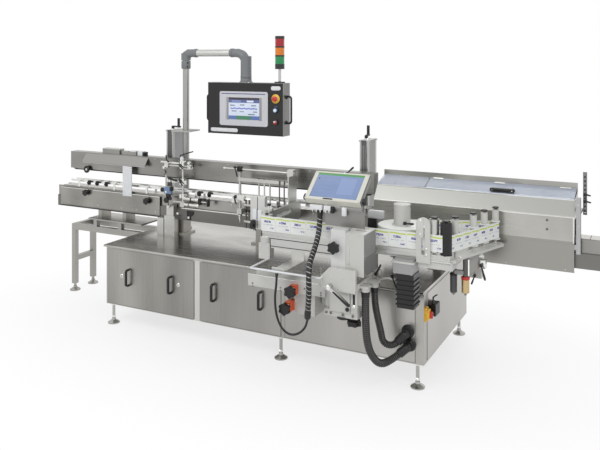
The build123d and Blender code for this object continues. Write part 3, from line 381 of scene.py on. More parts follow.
def panelScreen(name):
    # local picture in the panel's own plane: u across, v up the slope
    face = screenFace(name, lin(126, 146, 186))
    x, y, z = (c * mm for c in panelPlane["middle"])
    u = face.x - x
    v = (face.y - y) * panelPlane["cos"] + (face.z - z) * panelPlane["sin"]
    face.over(v.above(0.086), lin(74, 150, 74), 0.2)
    face.over(u.between(0.01, 0.115) * v.between(-0.060, 0.070), lin(136, 154, 194), 0.2)
    face.over(u.between(-0.145, -0.138) * v.between(0.050, 0.062), lin(40, 52, 90), 0.2)
    rows = (v * 34).math("FRACT").below(0.12)
    return face.over(rows * u.between(-0.130, -0.03) * v.between(-0.06, 0.05), lin(116, 136, 178), 0.2)


def pendantScreen(name):
    face = screenFace(name, lin(222, 232, 250))
    u = (face.x - pendantPicture["left"]) / pendantPicture["wide"]
    v = (face.z - pendantPicture["low"]) / pendantPicture["tall"]
    face.over(v.above(0.90), lin(44, 30, 44), 0.2)
    face.over(v.between(0.76, 0.90), lin(82, 98, 150), 0.2)
    face.over(v.between(0.79, 0.87) * u.between(0.60, 0.82), lin(226, 232, 246), 0.2)
    face.over(v.between(0.79, 0.87) * u.between(0.10, 0.40), lin(130, 142, 190), 0.2)
    face.over(v.below(0.17), lin(86, 116, 182), 0.2)
    face.over(v.below(0.17) * u.between(0.24, 0.74), lin(62, 130, 96), 0.2)
    wiggle = v - (u * 40).math("SINE") * 0.012
    face.over(wiggle.between(0.47, 0.53) * u.between(0.06, 0.94), lin(126, 134, 206), 0.2)
    for left, right, low, high in ((0.04, 0.20, 0.62, 0.66), (0.38, 0.52, 0.64, 0.68), (0.74, 0.90, 0.62, 0.66),
                                   (0.10, 0.26, 0.36, 0.40), (0.36, 0.50, 0.34, 0.37), (0.80, 0.94, 0.34, 0.38),
                                   (0.64, 0.86, 0.22, 0.26)):
        face.over(u.between(left, right) * v.between(low, high), lin(74, 86, 96), 0.2)
    return face


def frontOf(edge):
    return lambda finish: finish.y.below(edge)


def makeFinishes():
    light = lin(202, 201, 196)
    table = (
        # name, slot, maker and the maker's own values
        ("panelSteel", "stainless", brushedSteel, lin(150, 148, 143), (220, 220, 3), 0.32, 0.34, (1.1, 1, 0.30)),
        ("bodySteel", "stainless", brushedSteel, lin(168, 166, 161), (220, 220, 3), 0.36, 0.18),
        ("tableSteel", "stainless", brushedSteel, lin(174, 172, 167), (3, 200, 200), 0.22, 0.22, (1.2, 2.2, 1)),
        ("longSteel", "stainless", brushedSteel, lin(152, 150, 146), (2, 260, 260), 0.30, 0.26, (1.3, 1, 1.0)),
        ("hoodSteel", "stainless", brushedSteel, lin(146, 145, 141), (2, 260, 260), 0.30, 0.20, (0.8, 1, 2.2)),
        ("coverSteel", "stainless_light", brushedSteel, lin(180, 179, 174), (2, 260, 260), 0.30, 0.14,
            (1.8, 1, 1.2)),
        ("darkSteel", "stainless", brushedSteel, lin(120, 119, 116), (2, 260, 260), 0.34, 0.16),
        ("brightSteel", "stainless_light", brushedSteel, lin(222, 222, 219), (60, 60, 60), 0.20, 0.06),
        ("footSteel", "stainless_light", brushedSteel, lin(170, 170, 166), (60, 60, 60), 0.22, 0.12),
        ("infeedSteel", "stainless", brushedSteel, lin(156, 154, 149), (2, 260, 260), 0.30, 0.22, (1.3, 1, 1.0)),
        ("anodised", "anodised", brushedSteel, lin(200, 200, 197), (4, 120, 120), 0.40, 0.09),
        ("poleAlloy", "anodised", brushedSteel, lin(166, 166, 163), (120, 120, 4), 0.34, 0.12),
        ("postAlloy", "anodised", brushedSteel, lin(176, 176, 177), (120, 120, 4), 0.38, 0.10),
        ("columnAlloy", "anodised", columnAlloy),
        ("chainPlates", "chain", chainPlates),
        ("castGrey", "casting", paintedMetal, lin(122, 124, 126), 0.5, 0.3),
        ("lightGrey", "light_grey", paintedMetal, light, 0.42),
        ("middleGrey", "light_grey", paintedMetal, lin(150, 150, 148), 0.45),
        ("boxPaint", "light_grey", paintedMetal, light, 0.42),
        ("columnPaint", "light_grey", paintedMetal, lin(216, 216, 213), 0.40),
        ("panelHousing", "light_grey", paintedMetal, lin(214, 212, 200), 0.42),
        ("blackPaint", "motor_black", paintedMetal, lin(16, 16, 17), 0.38),
        ("motorPaint", "motor_black", paintedMetal, lin(16, 16, 17), 0.34),
        ("pendantPaint", "pendant_black", brushedSteel, lin(130, 130, 128), (60, 60, 3), 0.38, 0.12),
        ("blackPlastic", "black_handle", mouldedPlastic, black, 0.40),
        ("beltRubber", "belt", mouldedPlastic, lin(18, 18, 18), 0.55),
        ("hoseRubber", "hose", mouldedPlastic, lin(66, 65, 63), 0.36),
        ("elbowRubber", "hose", mouldedPlastic, softBlack, 0.44),
        ("whitePlastic", "white_plastic", mouldedPlastic, lin(226, 227, 228), 0.40),
        ("yellowPlastic", "switch_yellow", mouldedPlastic, lin(240, 190, 48), 0.35, 0.2),
        ("redPlastic", "switch_red", mouldedPlastic, lin(200, 40, 28), 0.30, 0.3),
        ("blueGlass", "lamp", mouldedPlastic, lin(40, 78, 128), 0.20, 0.5),
        ("whiteGlass", "lamp", mouldedPlastic, lin(226, 240, 252), 0.16, 0.5),
        ("sensorBlue", "screen", mouldedPlastic, lin(112, 136, 172), 0.35, 0.2),
        ("orangePlastic", "orange", mouldedPlastic, lin(232, 94, 44), 0.35, 0.2),
        ("brass", "brass", brushedSteel, lin(196, 172, 130), (60, 60, 60), 0.34, 0.08),
        ("webPrint", "paper", labelPrint, lambda f: f.x + f.y, lambda f: f.z.above(0)),
        ("rollPrint", "paper", rollPrint),
        ("clearBlue", "clear", clearPlastic, lin(206, 214, 228), 0.34, 0.44),
        ("clearLid", "clear", clearPlastic, lin(204, 212, 226), 0.38, 0.48),
        ("panelScreen", "screen", panelScreen),
        ("pendantScreen", "screen", pendantScreen),
        ("bezelSilver", "light_grey", paintedMetal, lin(204, 204, 208), 0.35),
        ("bezelLine", "screen", mouldedPlastic, lin(86, 92, 138), 0.3),
        ("lampStack", "lamp", lampStack),
        # near black in the hose grooves: painted shade
        ("grooveRubber", "hose", mouldedPlastic, lin(6, 6, 6), 0.6),
        ("wrapBlack", "hose", mouldedPlastic, lin(22, 22, 22), 0.4),
        ("wireWhite", "hose", mouldedPlastic, lin(214, 214, 212), 0.4),
        ("switchBlock", "switch_yellow", mouldedPlastic, lin(236, 180, 40), 0.35),
        ("leverSteel", "stainless_light", brushedSteel, lin(200, 200, 198), (60, 60, 60), 0.22, 0.08),
    )
    # further zones by place: mask, colour, roughness and metallic value
    zones = {
        "panelSteel": (
            # painted reflection: the door panels grow lighter towards the right
            (lambda f: f.level(f.x, -1.2, 0.8, 0.0, 0.6), lin(192, 190, 186), 0.30, 1.0),
            (frontOf(-0.0306), softBlack, 0.5, 0.0),
        ),
        "bodySteel": ((lambda f: f.y.below(-0.0262) * f.x.between(-0.70, -0.63), lin(206, 204, 199), 0.3, 1.0),),
        # painted light: the hood's front slope is lighter than the rest of the hood
        "hoodSteel": ((frontOf(0.5185), lin(160, 159, 155), 0.3, 1.0),),
        "coverSteel": (
            # painted reflection: a darker band on the cover's top above the fold
            (lambda f: f.z.above(1.0405) * f.y.between(0.4522, 0.60), lin(166, 166, 162), 0.36, 1.0),
            (lambda f: f.z.below(0.8895), lin(158, 157, 152), 0.28, 1.0),
        ),
        "infeedSteel": ((frontOf(0.4785), black, 0.4, 0.0),),
        "postAlloy": ((lambda f: f.x.above(1.8485), lin(132, 132, 132), 0.4, 1.0),),
        "boxPaint": (
            # painted shade: the right side face is darker, and darker again below z 0.852
            (lambda f: f.x.above(0.7413), lin(136, 136, 133), 0.45, 0.0),
            (lambda f: f.x.above(0.7413) * f.z.below(0.852), lin(112, 112, 110), 0.45, 0.0),
            (lambda f: f.z.above(0.992), lin(142, 141, 138), 0.38, 0.6),
        ),
        "columnPaint": ((frontOf(-0.3462), black, 0.4, 0.0),),
        # painted shade: the panel housing's right side face is darker
        "panelHousing": ((lambda f: f.x.above(0.6835), lin(112, 112, 110), 0.45, 0.0),),
        "motorPaint": ((lambda f: f.z.above(0.7455), lin(158, 158, 156), 0.4, 0.2),),
        "pendantPaint": ((frontOf(0.6406), lin(20, 19, 20), 0.40, 0.0),),
        "brass": (
            (lambda f: f.x.below(1.212), lin(70, 70, 72), 0.4, 0.0),
            (lambda f: f.x.above(1.212) * f.z.above(0.700), lin(96, 94, 90), 0.4, 0.6),
            (lambda f: f.x.above(1.212) * f.z.between(0.700, 0.717), lin(170, 44, 32), 0.4, 0.0),
        ),
        "switchBlock": ((lambda f: f.y.above(0.050), black, 0.4, 0.0),),
    }
    made = {}
    for name, slotName, maker, *values in table:
        finish = maker(name, *values)
        for zone in zones.get(name, ()):
            mask, *look = zone
            finish.over(mask(finish), *look)
        made[name] = (finish.close(), slotName)
    return made


finishes = makeFinishes()

nodesOf = {
    "bodySteel": ("cabinet_body", "conveyor_stands"), "panelSteel": ("cabinet_panels",),
    "tableSteel": ("table_top",), "footSteel": ("levelling_feet",),
    "blackPlastic": ("panel_handles", "crank_left", "crank_right", "pendant_handles", "handwheel_upper",
        "handwheel_lower", "height_handwheel"),
    "switchBlock": ("end_switches",), "redPlastic": ("main_switch_knob",), "darkSteel": ("conveyor_beam",),
    "longSteel": ("conveyor_sides",), "chainPlates": ("conveyor_chain",), "brightSteel": ("guide_rails",),
    "infeedSteel": ("infeed_side_plate",), "whitePlastic": ("infeed_upright", "rod_guard"),
    "hoodSteel": ("holddown_housing",), "beltRubber": ("holddown_belt", "drive_roller"),
    "columnAlloy": ("adjusting_column_left", "adjusting_column_right"), "poleAlloy": ("pendant_pole",),
    "castGrey": ("pendant_arm",), "pendantPaint": ("pendant_box",), "bezelSilver": ("pendant_controls",),
    "lampStack": ("stack_light",), "coverSteel": ("cover_front_sheet", "cover_rear_wall"),
    "clearBlue": ("fixed_clear_panel",), "clearLid": ("clear_lid",), "postAlloy": ("end_post",),
    "lightGrey": ("base_rail", "stage_base", "head_plate", "reel_hub", "guide_rollers"),
    "orangePlastic": ("position_indicators",), "leverSteel": ("stage_lever",), "columnPaint": ("head_column",),
    "boxPaint": ("control_box",), "panelHousing": ("operator_panel",),
    "anodised": ("head_beam", "peel_arm", "pinch_roller", "turning_roller", "guide_station", "peel_station"),
    "webPrint": ("label_web",), "motorPaint": ("drive_motor",), "brass": ("air_regulator",),
    "rollPrint": ("label_roll",),
}


def paintNodes():
    for finish, names in nodesOf.items():
        for name in names:
            mesh = nodes[name].data
            mesh.materials.clear()
            mesh.materials.append(finishes[finish][0])


paintNodes()
print("frame painted")


# Cords: a NURBS route each, and hoses whose rings follow the points read from it
cords = {
    "outer": {"node": "outer_hose", "body": "frame", "length": 0.632, "diameter": 0.046, "pitch": 0.012,
              "route": ((733, -300, 640), (733, -300, 545), (735, -300, 440), (738, -290, 345), (752, -262, 255),
                        (788, -210, 185), (830.9, -140.1, 190.5), (883.5, -113.8, 237.1))},
    "inner": {"node": "inner_hose", "body": "frame", "length": 0.449, "diameter": 0.042, "pitch": 0.011,
              "route": ((746, -186, 640), (746, -186, 556), (758, -172, 460), (775.5, -156.2, 364.7),
                        (783.9, -152.1, 310.5), (801.3, -143.6, 288.6), (826.5, -131.4, 280),
                        (851.6, -118.2, 287.6), (870.7, -111.0, 308.1))},
    "panel": {"node": "panel_cable", "body": "label_head", "length": 0.719, "diameter": 0.034, "pitch": 0.026,
              "route": ((400, -227, 1083), (400, -227, 1005), (402, -256, 925), (411, -330, 858), (424, -425, 800),
                        (434, -456, 735), (434, -452, 665), (426, -438, 595), (412, -419, 530), (400, -402, 468))},
    "wheel": {"node": "handwheel_cable", "body": "label_head", "length": 0.595, "diameter": 0.014,
              "route": ((400, -402, 468), (389.4, -386.9, 413.0), (350, -394, 362), (292, -400, 338),
                        (236, -403, 358), (197, -404, 415), (180, -404, 490), (175, -400, 565),
                        (178, -383, 637), (178, -383, 700))},
}


def routeCurve(name, route):
    curve = bpy.data.curves.new(name, "CURVE")
    curve.dimensions = "3D"
    spline = curve.splines.new("NURBS")
    spline.points.add(len(route) - 1)
    for point, place in zip(spline.points, route):
        point.co = (*(c * mm for c in place), 1.0)
    spline.order_u = 3
    spline.use_endpoint_u = True
    curve.resolution_u = 24
    made = bpy.data.objects.new(name, curve)
    bpy.context.scene.collection.objects.link(made)
    return made


def routePoints(route, step):
    # even points along the route's own smooth line
    helper = routeCurve("routeHelper", route)
    bpy.context.view_layer.update()
    line = bpy.data.meshes.new_from_object(helper)
    places = [vertex.co.copy() for vertex in line.vertices]
    bpy.data.meshes.remove(line)
    data = helper.data
    bpy.data.objects.remove(helper)
    bpy.data.curves.remove(data)
    total = sum((b - a).length for a, b in zip(places, places[1:]))
    count = max(8, round(total / step))
    even, walked, target = [places[0]], 0.0, total / count
    for a, b in zip(places, places[1:]):
        reach = (b - a).length
        while walked + reach >= target * len(even) - 1e-9 and len(even) < count:
            even.append(a.lerp(b, (target * len(even) - walked) / reach))
        walked += reach
    even.append(places[-1])
    return even


def sweep(shape, line, radiusAt, sides=24):
    # rings of points along a line, joined by quads; returns the faces by ring and side
    across, rings, faces = None, [], []
    for number, point in enumerate(line):
        ahead = (line[min(number + 1, len(line) - 1)] - line[max(number - 1, 0)]).normalized()
        across = ahead.orthogonal() if across is None else across - ahead * across.dot(ahead)
        across.normalize()
        other = ahead.cross(across)
        ring = []
        for side in range(sides):
            angle = 2 * math.pi * side / sides
            out = across * math.cos(angle) + other * math.sin(angle)
            ring.append(shape.verts.new(point + out * radiusAt(number, side)))
        rings.append(ring)
    for number, (lower, upper) in enumerate(zip(rings, rings[1:])):
        for side in range(sides):
            nextSide = (side + 1) % sides
            faces.append((number, side, shape.faces.new((lower[side], lower[nextSide], upper[nextSide],
                upper[side]))))
    shape.faces.new(list(reversed(rings[0])))
    shape.faces.new(rings[-1])
    return faces


def placed(name, body, slotName, data, *materials):
    made = bpy.data.objects.new(name, data)
    for material in materials:
        data.materials.append(material)
    bpy.context.scene.collection.objects.link(made)
    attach(made, body)
    return made


def meshFrom(shape, name):
    data = bpy.data.meshes.new(name)
    shape.to_mesh(data)
    shape.free()
    return data


def ringedHose(name, values):
    # rounded rings; the grooves between them are painted near black, painted shade in the creases
    steps = 6
    line = routePoints(values["route"], values["pitch"] / steps)
    crest = values["diameter"] / 2

    def radiusAt(number, side):
        return crest + 0.0006 - crest * 0.17 * (0.5 - 0.5 * math.cos(2 * math.pi * number / steps)) ** 1.3

    shape = bmesh.new()
    for number, _, face in sweep(shape, line, radiusAt):
        face.smooth = True
        # faces in the grooves take the painted shade
        face.material_index = 1 if number % steps in (2, 3) else 0
    made = placed(name, values["body"], "hose", meshFrom(shape, name), finishes["hoseRubber"][0],
        finishes["grooveRubber"][0])
    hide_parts(values["node"])
    return made, line


def wrappedBundle(name, values):
    # black spiral wrap; between its turns the pale wires show a little deeper
    step, sides = 0.0025, 24
    line = routePoints(values["route"], step)
    crest = values["diameter"] / 2

    def gap(number, side):
        turnShare = (number * step / values["pitch"] + side / sides) % 1.0
        return turnShare < 0.20

    def radiusAt(number, side):
        return crest * (0.90 if gap(number, side) else 1.0)

    shape = bmesh.new()
    for number, side, face in sweep(shape, line, radiusAt, sides):
        face.smooth = True
        face.material_index = 1 if gap(number, side) and gap(number + 1, side) else 0
    made = placed(name, values["body"], "hose", meshFrom(shape, name), finishes["wrapBlack"][0],
        finishes["wireWhite"][0])
    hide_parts(values["node"])
    return made, line


def plainCable(name, values):
    made = routeCurve(name, values["route"])
    made.data.bevel_depth = values["diameter"] / 2
    made.data.bevel_resolution = 5
    made.data.use_fill_caps = True
    made.data.materials.append(finishes["wrapBlack"][0])
    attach(made, values["body"])
    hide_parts(values["node"])
    return made


# Ways that turned parts point, and their outlines as pairs of radius and height
up, down = (0, 0, 1), (0, 0, -1)
toFront, toBack, toRight, toLeft = (0, -1, 0), (0, 1, 0), (1, 0, 0), (-1, 0, 0)


def cap(radius, side, edge, top, bore=0, start=0):
    # straight side, sloped edge, flat top, open where it has a bore
    return [(radius, start), (radius, side), (edge, top), (bore, top)]


def hub(foot, radius, low, high, edge, top, bore=0):
    # like a cap, on a foot of another radius
    return [(foot, 0), (radius, low), (radius, high), (edge, top), (bore, top)]


def socketHead(radius, side, edge, top, bore, floor):
    return [(radius, 0), (radius, side), (edge, top), (bore, top), (bore, floor), (0, floor)]


# Small parts: one class collects solids in millimetres and makes one object for each finish
class Piece:
    def __init__(self, name, body):
        self.name, self.body, self.shapes = name, body, {}
        self.within = Matrix.Identity(4)

    def add(self, part, finish, bevel=0.0):
        bmesh.ops.remove_doubles(part, verts=part.verts, dist=0.0005)
        bmesh.ops.recalc_face_normals(part, faces=part.faces)
        if bevel > 0:
            crisp = [edge for edge in part.edges if edge.is_manifold and edge.calc_face_angle(0.0) > 0.7]
            bmesh.ops.bevel(part, geom=crisp, offset=bevel, segments=2, profile=0.5, affect="EDGES",
                clamp_overlap=True)
        for face in part.faces:
            face.smooth = True
        for edge in part.edges:
            edge.smooth = edge.is_manifold and edge.calc_face_angle(0.0) < 0.6
        bmesh.ops.transform(part, matrix=self.within, verts=part.verts)
        carrier = bpy.data.meshes.new("carrier")
        part.to_mesh(carrier)
        part.free()
        if finish not in self.shapes:
            self.shapes[finish] = bmesh.new()
        self.shapes[finish].from_mesh(carrier)
        bpy.data.meshes.remove(carrier)

    def box(self, low, high, finish, bevel=1.0):
        part = bmesh.new()
        size = [b - a for a, b in zip(low, high)]
        middle = [(a + b) / 2 for a, b in zip(low, high)]
        bmesh.ops.create_cube(part, size=1.0)
        bmesh.ops.scale(part, vec=size, verts=part.verts)
        bmesh.ops.translate(part, vec=middle, verts=part.verts)
        self.add(part, finish, min(bevel, 0.3 * min(size)))

    def turned(self, place, axis, profile, finish, steps=32, lobes=0, depth=0.0, ring=False):
        # revolves (radius, height) pairs; lobes make a hand-knob outline
        part = bmesh.new()
        setting = Matrix.Translation(place) @ Vector(axis).to_track_quat("Z", "Y").to_matrix().to_4x4()
        rings = []
        for radius, height in profile:
            count = steps if radius > 0 else 1
            made = []
            for number in range(count):
                angle = 2 * math.pi * number / count
                out = radius * (1 - depth * (0.5 - 0.5 * math.cos(lobes * angle))) if lobes else radius
                made.append(part.verts.new(setting @ Vector((out * math.cos(angle), out * math.sin(angle),
                    height))))
            rings.append(made)
        pairs = list(zip(rings, rings[1:])) + ([(rings[-1], rings[0])] if ring else [])
        for lower, upper in pairs:
            for number in range(max(len(lower), len(upper))):
                corners = []
                for holder, index in ((lower, number), (lower, number + 1), (upper, number + 1), (upper, number)):
                    corner = holder[index % len(holder)]
                    if corner not in corners:
                        corners.append(corner)
                if len(corners) > 2:
                    part.faces.new(corners)
        if not ring:
            for made in (rings[0], rings[-1]):
                if len(made) > 2:
                    part.faces.new(made)
        self.add(part, finish)

    def plate(self, outline, low, high, finish, axis="Y", bevel=0.8):
        # an outline in the other two axes, drawn out from low to high along this one
        part = bmesh.new()

        def spot(a, b, along):
            return {"X": (along, a, b), "Y": (a, along, b), "Z": (a, b, along)}[axis]

        lower = [part.verts.new(spot(a, b, low)) for a, b in outline]
        upper = [part.verts.new(spot(a, b, high)) for a, b in outline]
        part.faces.new(lower)
        part.faces.new(upper)
        for number in range(len(outline)):
            part.faces.new((lower[number], lower[number - 1], upper[number - 1], upper[number]))
        self.add(part, finish, bevel)

    def bar(self, points, radii, finish, sides=14):
        # a round bar or grip through points, with one radius or one for each point
        part = bmesh.new()
        line = [Vector(point) for point in points]
        sizes = radii if isinstance(radii, (list, tuple)) else [radii] * len(line)
        sweep(part, line, lambda number, side: sizes[number], sides)
        self.add(part, finish)

    def screw(self, place, axis, size=5.0, finish="brightSteel"):
        profile = [(size, 0), (size, size * 0.8), (size * 0.86, size), (size * 0.5, size),
            (size * 0.5, size * 0.45), (0, size * 0.45)]
        self.turned(place, axis, profile, finish, 14)

    def screws(self, xs, ys, zs, axis, size=5.0, finish="brightSteel"):
        # a screw at each place of a grid, where a single number stands for a row of one
        rows = [values if isinstance(values, (tuple, range)) else (values,) for values in (xs, ys, zs)]
        for place in product(*rows):
            self.screw(place, axis, size, finish)

    def knob(self, place, axis, radius, height):
        # a star knob with six lobes
        stem = radius * 0.42
        profile = [(stem, 0), (stem, height * 0.35), (radius * 0.9, height * 0.42), (radius, height * 0.55),
                   (radius, height * 0.85), (radius * 0.86, height), (radius * 0.3, height * 1.0),
                   (0, height * 0.92)]
        self.turned(place, axis, profile, "blackPlastic", 48, 6, 0.20)

    def lever(self, place, axis, tip, size=1.0):
        # a clamp lever: a steel boss, a black hub and a grip that widens to its end
        way, base, end = Vector(axis).normalized(), Vector(place), Vector(tip)
        self.turned(base, way, [(6 * size, 0), (6 * size, 8 * size)], "brightSteel", 20)
        outline = [(radius * size, height * size) for radius, height in hub(9, 10, 2, 13, 7, 16)]
        self.turned(base + way * 8 * size, way, outline, "blackPlastic", 24)
        root = base + way * 15 * size
        radii = [radius * size for radius in (4.6, 4.4, 6.6, 4.5)]
        self.bar([root, root.lerp(end, 0.25), root.lerp(end, 0.85), end], radii, "blackPlastic")

    def done(self):
        made = []
        for finish, shape in self.shapes.items():
            bmesh.ops.scale(shape, vec=(mm, mm, mm), verts=shape.verts)
            name = self.name + finish[0].upper() + finish[1:]
            made.append(placed(name, self.body, finishes[finish][1], meshFrom(shape, name), finishes[finish][0]))
        return made


def roundedRect(a0, a1, b0, b1, radius, steps=5):
    outline = []
    for cornerA, cornerB, start in ((a1 - radius, b1 - radius, 0), (a0 + radius, b1 - radius, 90),
                                    (a0 + radius, b0 + radius, 180), (a1 - radius, b0 + radius, 270)):
        for number in range(steps + 1):
            angle = math.radians(start + 90 * number / steps)
            outline.append((cornerA + radius * math.cos(angle), cornerB + radius * math.sin(angle)))
    return outline


def makeCords():
    start, end = (Vector(place) for place in cords["panel"]["route"][-2:])
    sleeve = Piece("bundleSleeve", "label_head")
    sleeve.turned(end, end - start, [(17.4, -42), (19.5, -36), (19.5, 2), (16.5, 8), (9.5, 16), (8.2, 26), (0, 26)],
        "elbowRubber")
    sleevePiece = sleeve.done()

    outer, outerLine = ringedHose("outerHose", cords["outer"])
    inner, innerLine = ringedHose("innerHose", cords["inner"])
    bundle, bundleLine = wrappedBundle("panelCable", cords["panel"])
    wheel = plainCable("handwheelCable", cords["wheel"])


makeCords()
print("cords laid")

# Collars where the cords meet their housings
collars = {
    "stageGlands": (((733, -300, 642), 23, 34), ((746, -186, 642), 21, 34)),
    "elbows": (((905, -98, 345), (-0.6593, -0.2497, -0.7092), 52, 21),
        ((915, -98, 265), (-0.7011, -0.3505, -0.6209), 45, 23)),
    "ports": ((905, 345), (915, 265)),
}


def makeCollars():
    fixed = Piece("hoseCollars", "frame")
    for place, radius, drop in collars["stageGlands"]:
        fixed.turned(place, down, [(radius + 4, 0), (radius + 4, 8), (radius + 2.6, 12), (radius + 1.0, drop),
            (radius - 3, drop)], "elbowRubber")
    for place, way, reach, radius in collars["elbows"]:
        end = Vector(place) + Vector(way) * (reach - 16)
        fixed.turned(end, way, [(radius + 2.0, 0), (radius + 5.0, 2), (radius + 5.0, 9), (radius + 3.6, 10),
            (radius + 3.6, 14),
                                (radius + 4.6, 15), (radius + 4.4, 22), (radius + 0.6, 27), (radius - 3, 27)],
                                "elbowRubber")
    for x, z in collars["ports"]:
        fixed.turned((x, -30, z), toFront, [(41, 0), (41, 5), (38, 8), (33.5, 10), (32.5, 26), (28, 30), (26, 30)],
            "elbowRubber", 40)
    fixed.done()
    moving = Piece("cableCollars", "label_head")
    moving.turned((400, -227, 1084), down, [(20.5, 0), (20.5, 10), (19, 14), (17.6, 40), (14, 40)], "elbowRubber")
    moving.turned((178, -383, 701), down, [(11.5, 0), (11.5, 6), (9.5, 9), (7.6, 30), (5, 30)], "elbowRubber")
    moving.done()


makeCollars()

# Cabinet: round locks, lock nuts on the feet and a dark strip round each door, painted shade of the gap between the
# doors
cabinet = {"locks": ((-1358, 379), (-831, 385)), "feetX": (-1462, 0, 957), "feetY": (0, 980),
           "doors": ((-1495, -694), (-642, 14), (45, 950)), "doorLow": 158, "doorHigh": 575}


def makeCabinetTrim():
    trim = Piece("cabinetTrim", "frame")
    for x, z in cabinet["locks"]:
        trim.turned((x, -30, z), toFront, [(14, 0), (14, 2.5), (12, 4.5), (6.5, 4.5), (6, 2.5), (0, 2.5)],
            "brightSteel", 28)
        trim.box((x - 1.2, -35.2, z - 5), (x + 1.2, -32, z + 5), "blackPlastic", 0.2)
    for x in cabinet["feetX"]:
        for y in cabinet["feetY"]:
            trim.turned((x, y, 150), down, cap(18, 12, 16, 14, 8), "brightSteel", 6)
            trim.turned((x, y, 62), down, [(9, 0), (14, 6), (14, 18), (9, 22)], "brightSteel", 6)
    # dark strips along each door's edges and foot: painted shade of the gaps
    for left, right in cabinet["doors"]:
        low, high = cabinet["doorLow"], cabinet["doorHigh"]
        for x in (left, right):
            trim.box((x - 1.5, -30.4, low), (x + 1.5, -26.5, high), "darkSteel", 0.4)
        trim.box((left, -30.4, low - 1), (right, -26.5, low + 2), "darkSteel", 0.4)
    trim.done()


makeCabinetTrim()

# Main switch and limit switch at the cabinet's end
endSwitch = {"plateX": 1017, "screwY": (-18, 20), "screwZ": (421, 494)}


def makeEndSwitchTrim():
    trim = Piece("endSwitchTrim", "frame")
    trim.screws(endSwitch["plateX"], endSwitch["screwY"], endSwitch["screwZ"], toRight, 3)
    trim.box((1012, -23, 426), (1034, 25, 490), "yellowPlastic", 5)
    trim.bar([(1030, 84, 538), (1040, 92, 548), (1050, 104, 552)], [4, 4.5, 4], "blackPlastic")
    trim.turned((1030, 84, 500), up, [(9, 0), (9, 6), (7, 9), (6, 22), (5, 22)], "blackPlastic", 20)
    trim.done()
    knob = Piece("mainSwitchGrip", "main_switch")
    knob.box((1046, -5, 440), (1053.5, 7, 474), "redPlastic", 2.0)
    knob.done()


makeEndSwitchTrim()
print("cabinet trimmed")

# Conveyor: rail clamps, bracket knobs, side plate screws and a bright strip along the side
conveyor = {"clamps": (-2196, -2104, -2001, -1026, -930),
    "brackets": (-2300, -1900, -1550, -1050, -700, -300, 100, 400),
            "front": 497, "back": 623, "screwZ": 882}


def makeConveyorTrim():
    trim = Piece("conveyorTrim", "frame")
    for x in conveyor["clamps"]:
        trim.box((x - 11, 500, 922), (x + 11, 523, 962), "blackPlastic", 3)
        trim.turned((x, 500, 942), toFront, cap(8, 10, 6, 12), "blackPlastic", 18)
        trim.turned((x, 512, 901), up, [(4, 0), (4, 22)], "brightSteel", 14)
    for x in conveyor["brackets"]:
        for y, way in ((523.5, -1), (596.5, 1)):
            trim.turned((x + 18, y, 950), (0, way, 0), cap(7, 6, 5.5, 8), "brightSteel", 18)
    for x in range(-1180, 480, 236):
        trim.screw((x, conveyor["front"], conveyor["screwZ"]), toFront, 4.5)
        trim.screw((x, conveyor["back"], conveyor["screwZ"]), toBack, 4.5)
    trim.box((-1190, 484, 811), (480, 485.5, 821), "brightSteel", 0.6)
    trim.turned((-1110, 485, 746), toFront, cap(11, 8, 8, 11), "brightSteel", 24)
    trim.plate([(-1128, 800), (-1058, 800), (-1066, 770), (-1090, 752), (-1090, 728), (-1126, 728)], 480, 485,
        "blackPaint")
    trim.done()


makeConveyorTrim()

# Infeed: bright flange of the side plate, nuts, the round black hand knob above it
infeed = {"left": -2500, "right": -1400, "low": 727, "knob": (-2215, 1058)}


def makeInfeedTrim():
    trim = Piece("infeedTrim", "frame")
    trim.box((infeed["left"], 472, infeed["low"] - 2), (infeed["right"], 486, infeed["low"] + 2), "brightSteel",
        0.6)
    trim.box((infeed["left"], 478, 884), (infeed["right"], 486.5, 889), "brightSteel", 0.6)
    trim.screws((-2400, -2060, -1800, -1640, -1440), 479, 760, toFront, 4.5)
    for z in (884, 900, 1096, 1106):
        trim.screws((-1772, -1704), 473, z, toFront, 3.5)
    trim.done()
    rider = Piece("holddownKnob", "holddown")
    x, z = infeed["knob"]
    rider.turned((x, 520, z), toFront, [(12, 0), (12, 10), (28, 12), (31, 16), (31, 24), (26, 28), (17, 28),
        (15, 24), (0, 24)], "blackPlastic", 36)
    rider.turned((x, 496, z), toFront, [(11, 0), (11, 2), (0, 2.5)], "anodised", 24)
    rider.done()


makeInfeedTrim()

# Hold-down: rim of the hood in pale paint as a painted highlight, blocks and clips on top, screws along the face
holddown = {"hoodLeft": -2240, "hoodRight": -1550, "face": 520}


def makeHolddownTrim():
    trim = Piece("holddownTrim", "holddown")
    # pale strip on the hood's lower edge: a painted highlight of the steel rim
    trim.box((holddown["hoodLeft"], 473.5, 1121), (holddown["hoodRight"], 477.5, 1134), "bezelSilver", 1.0)
    row = ((-1786, -1764, "blackPlastic"), (-1764, -1704, "whitePlastic"), (-1704, -1680, "blackPlastic"),
           (-1680, -1628, "whitePlastic"), (-1628, -1606, "blackPlastic"))
    for left, right, finish in row:
        trim.box((left, 536, 1204), (right, 586, 1236 if finish == "blackPlastic" else 1242), finish, 2.0)
    trim.box((-2062, 528, 1245), (-1868, 592, 1250), "lightGrey", 1.2)
    trim.screws((-2050, -1880), 540, 1250, up, 3)
    trim.screws(range(-1480, 450, 240), holddown["face"], 1190, toFront, 3.5)
    trim.done()


makeHolddownTrim()

# Column heads and crank fittings
columns = {"places": (-1424, 341), "front": 645, "back": 813, "top": 1425}


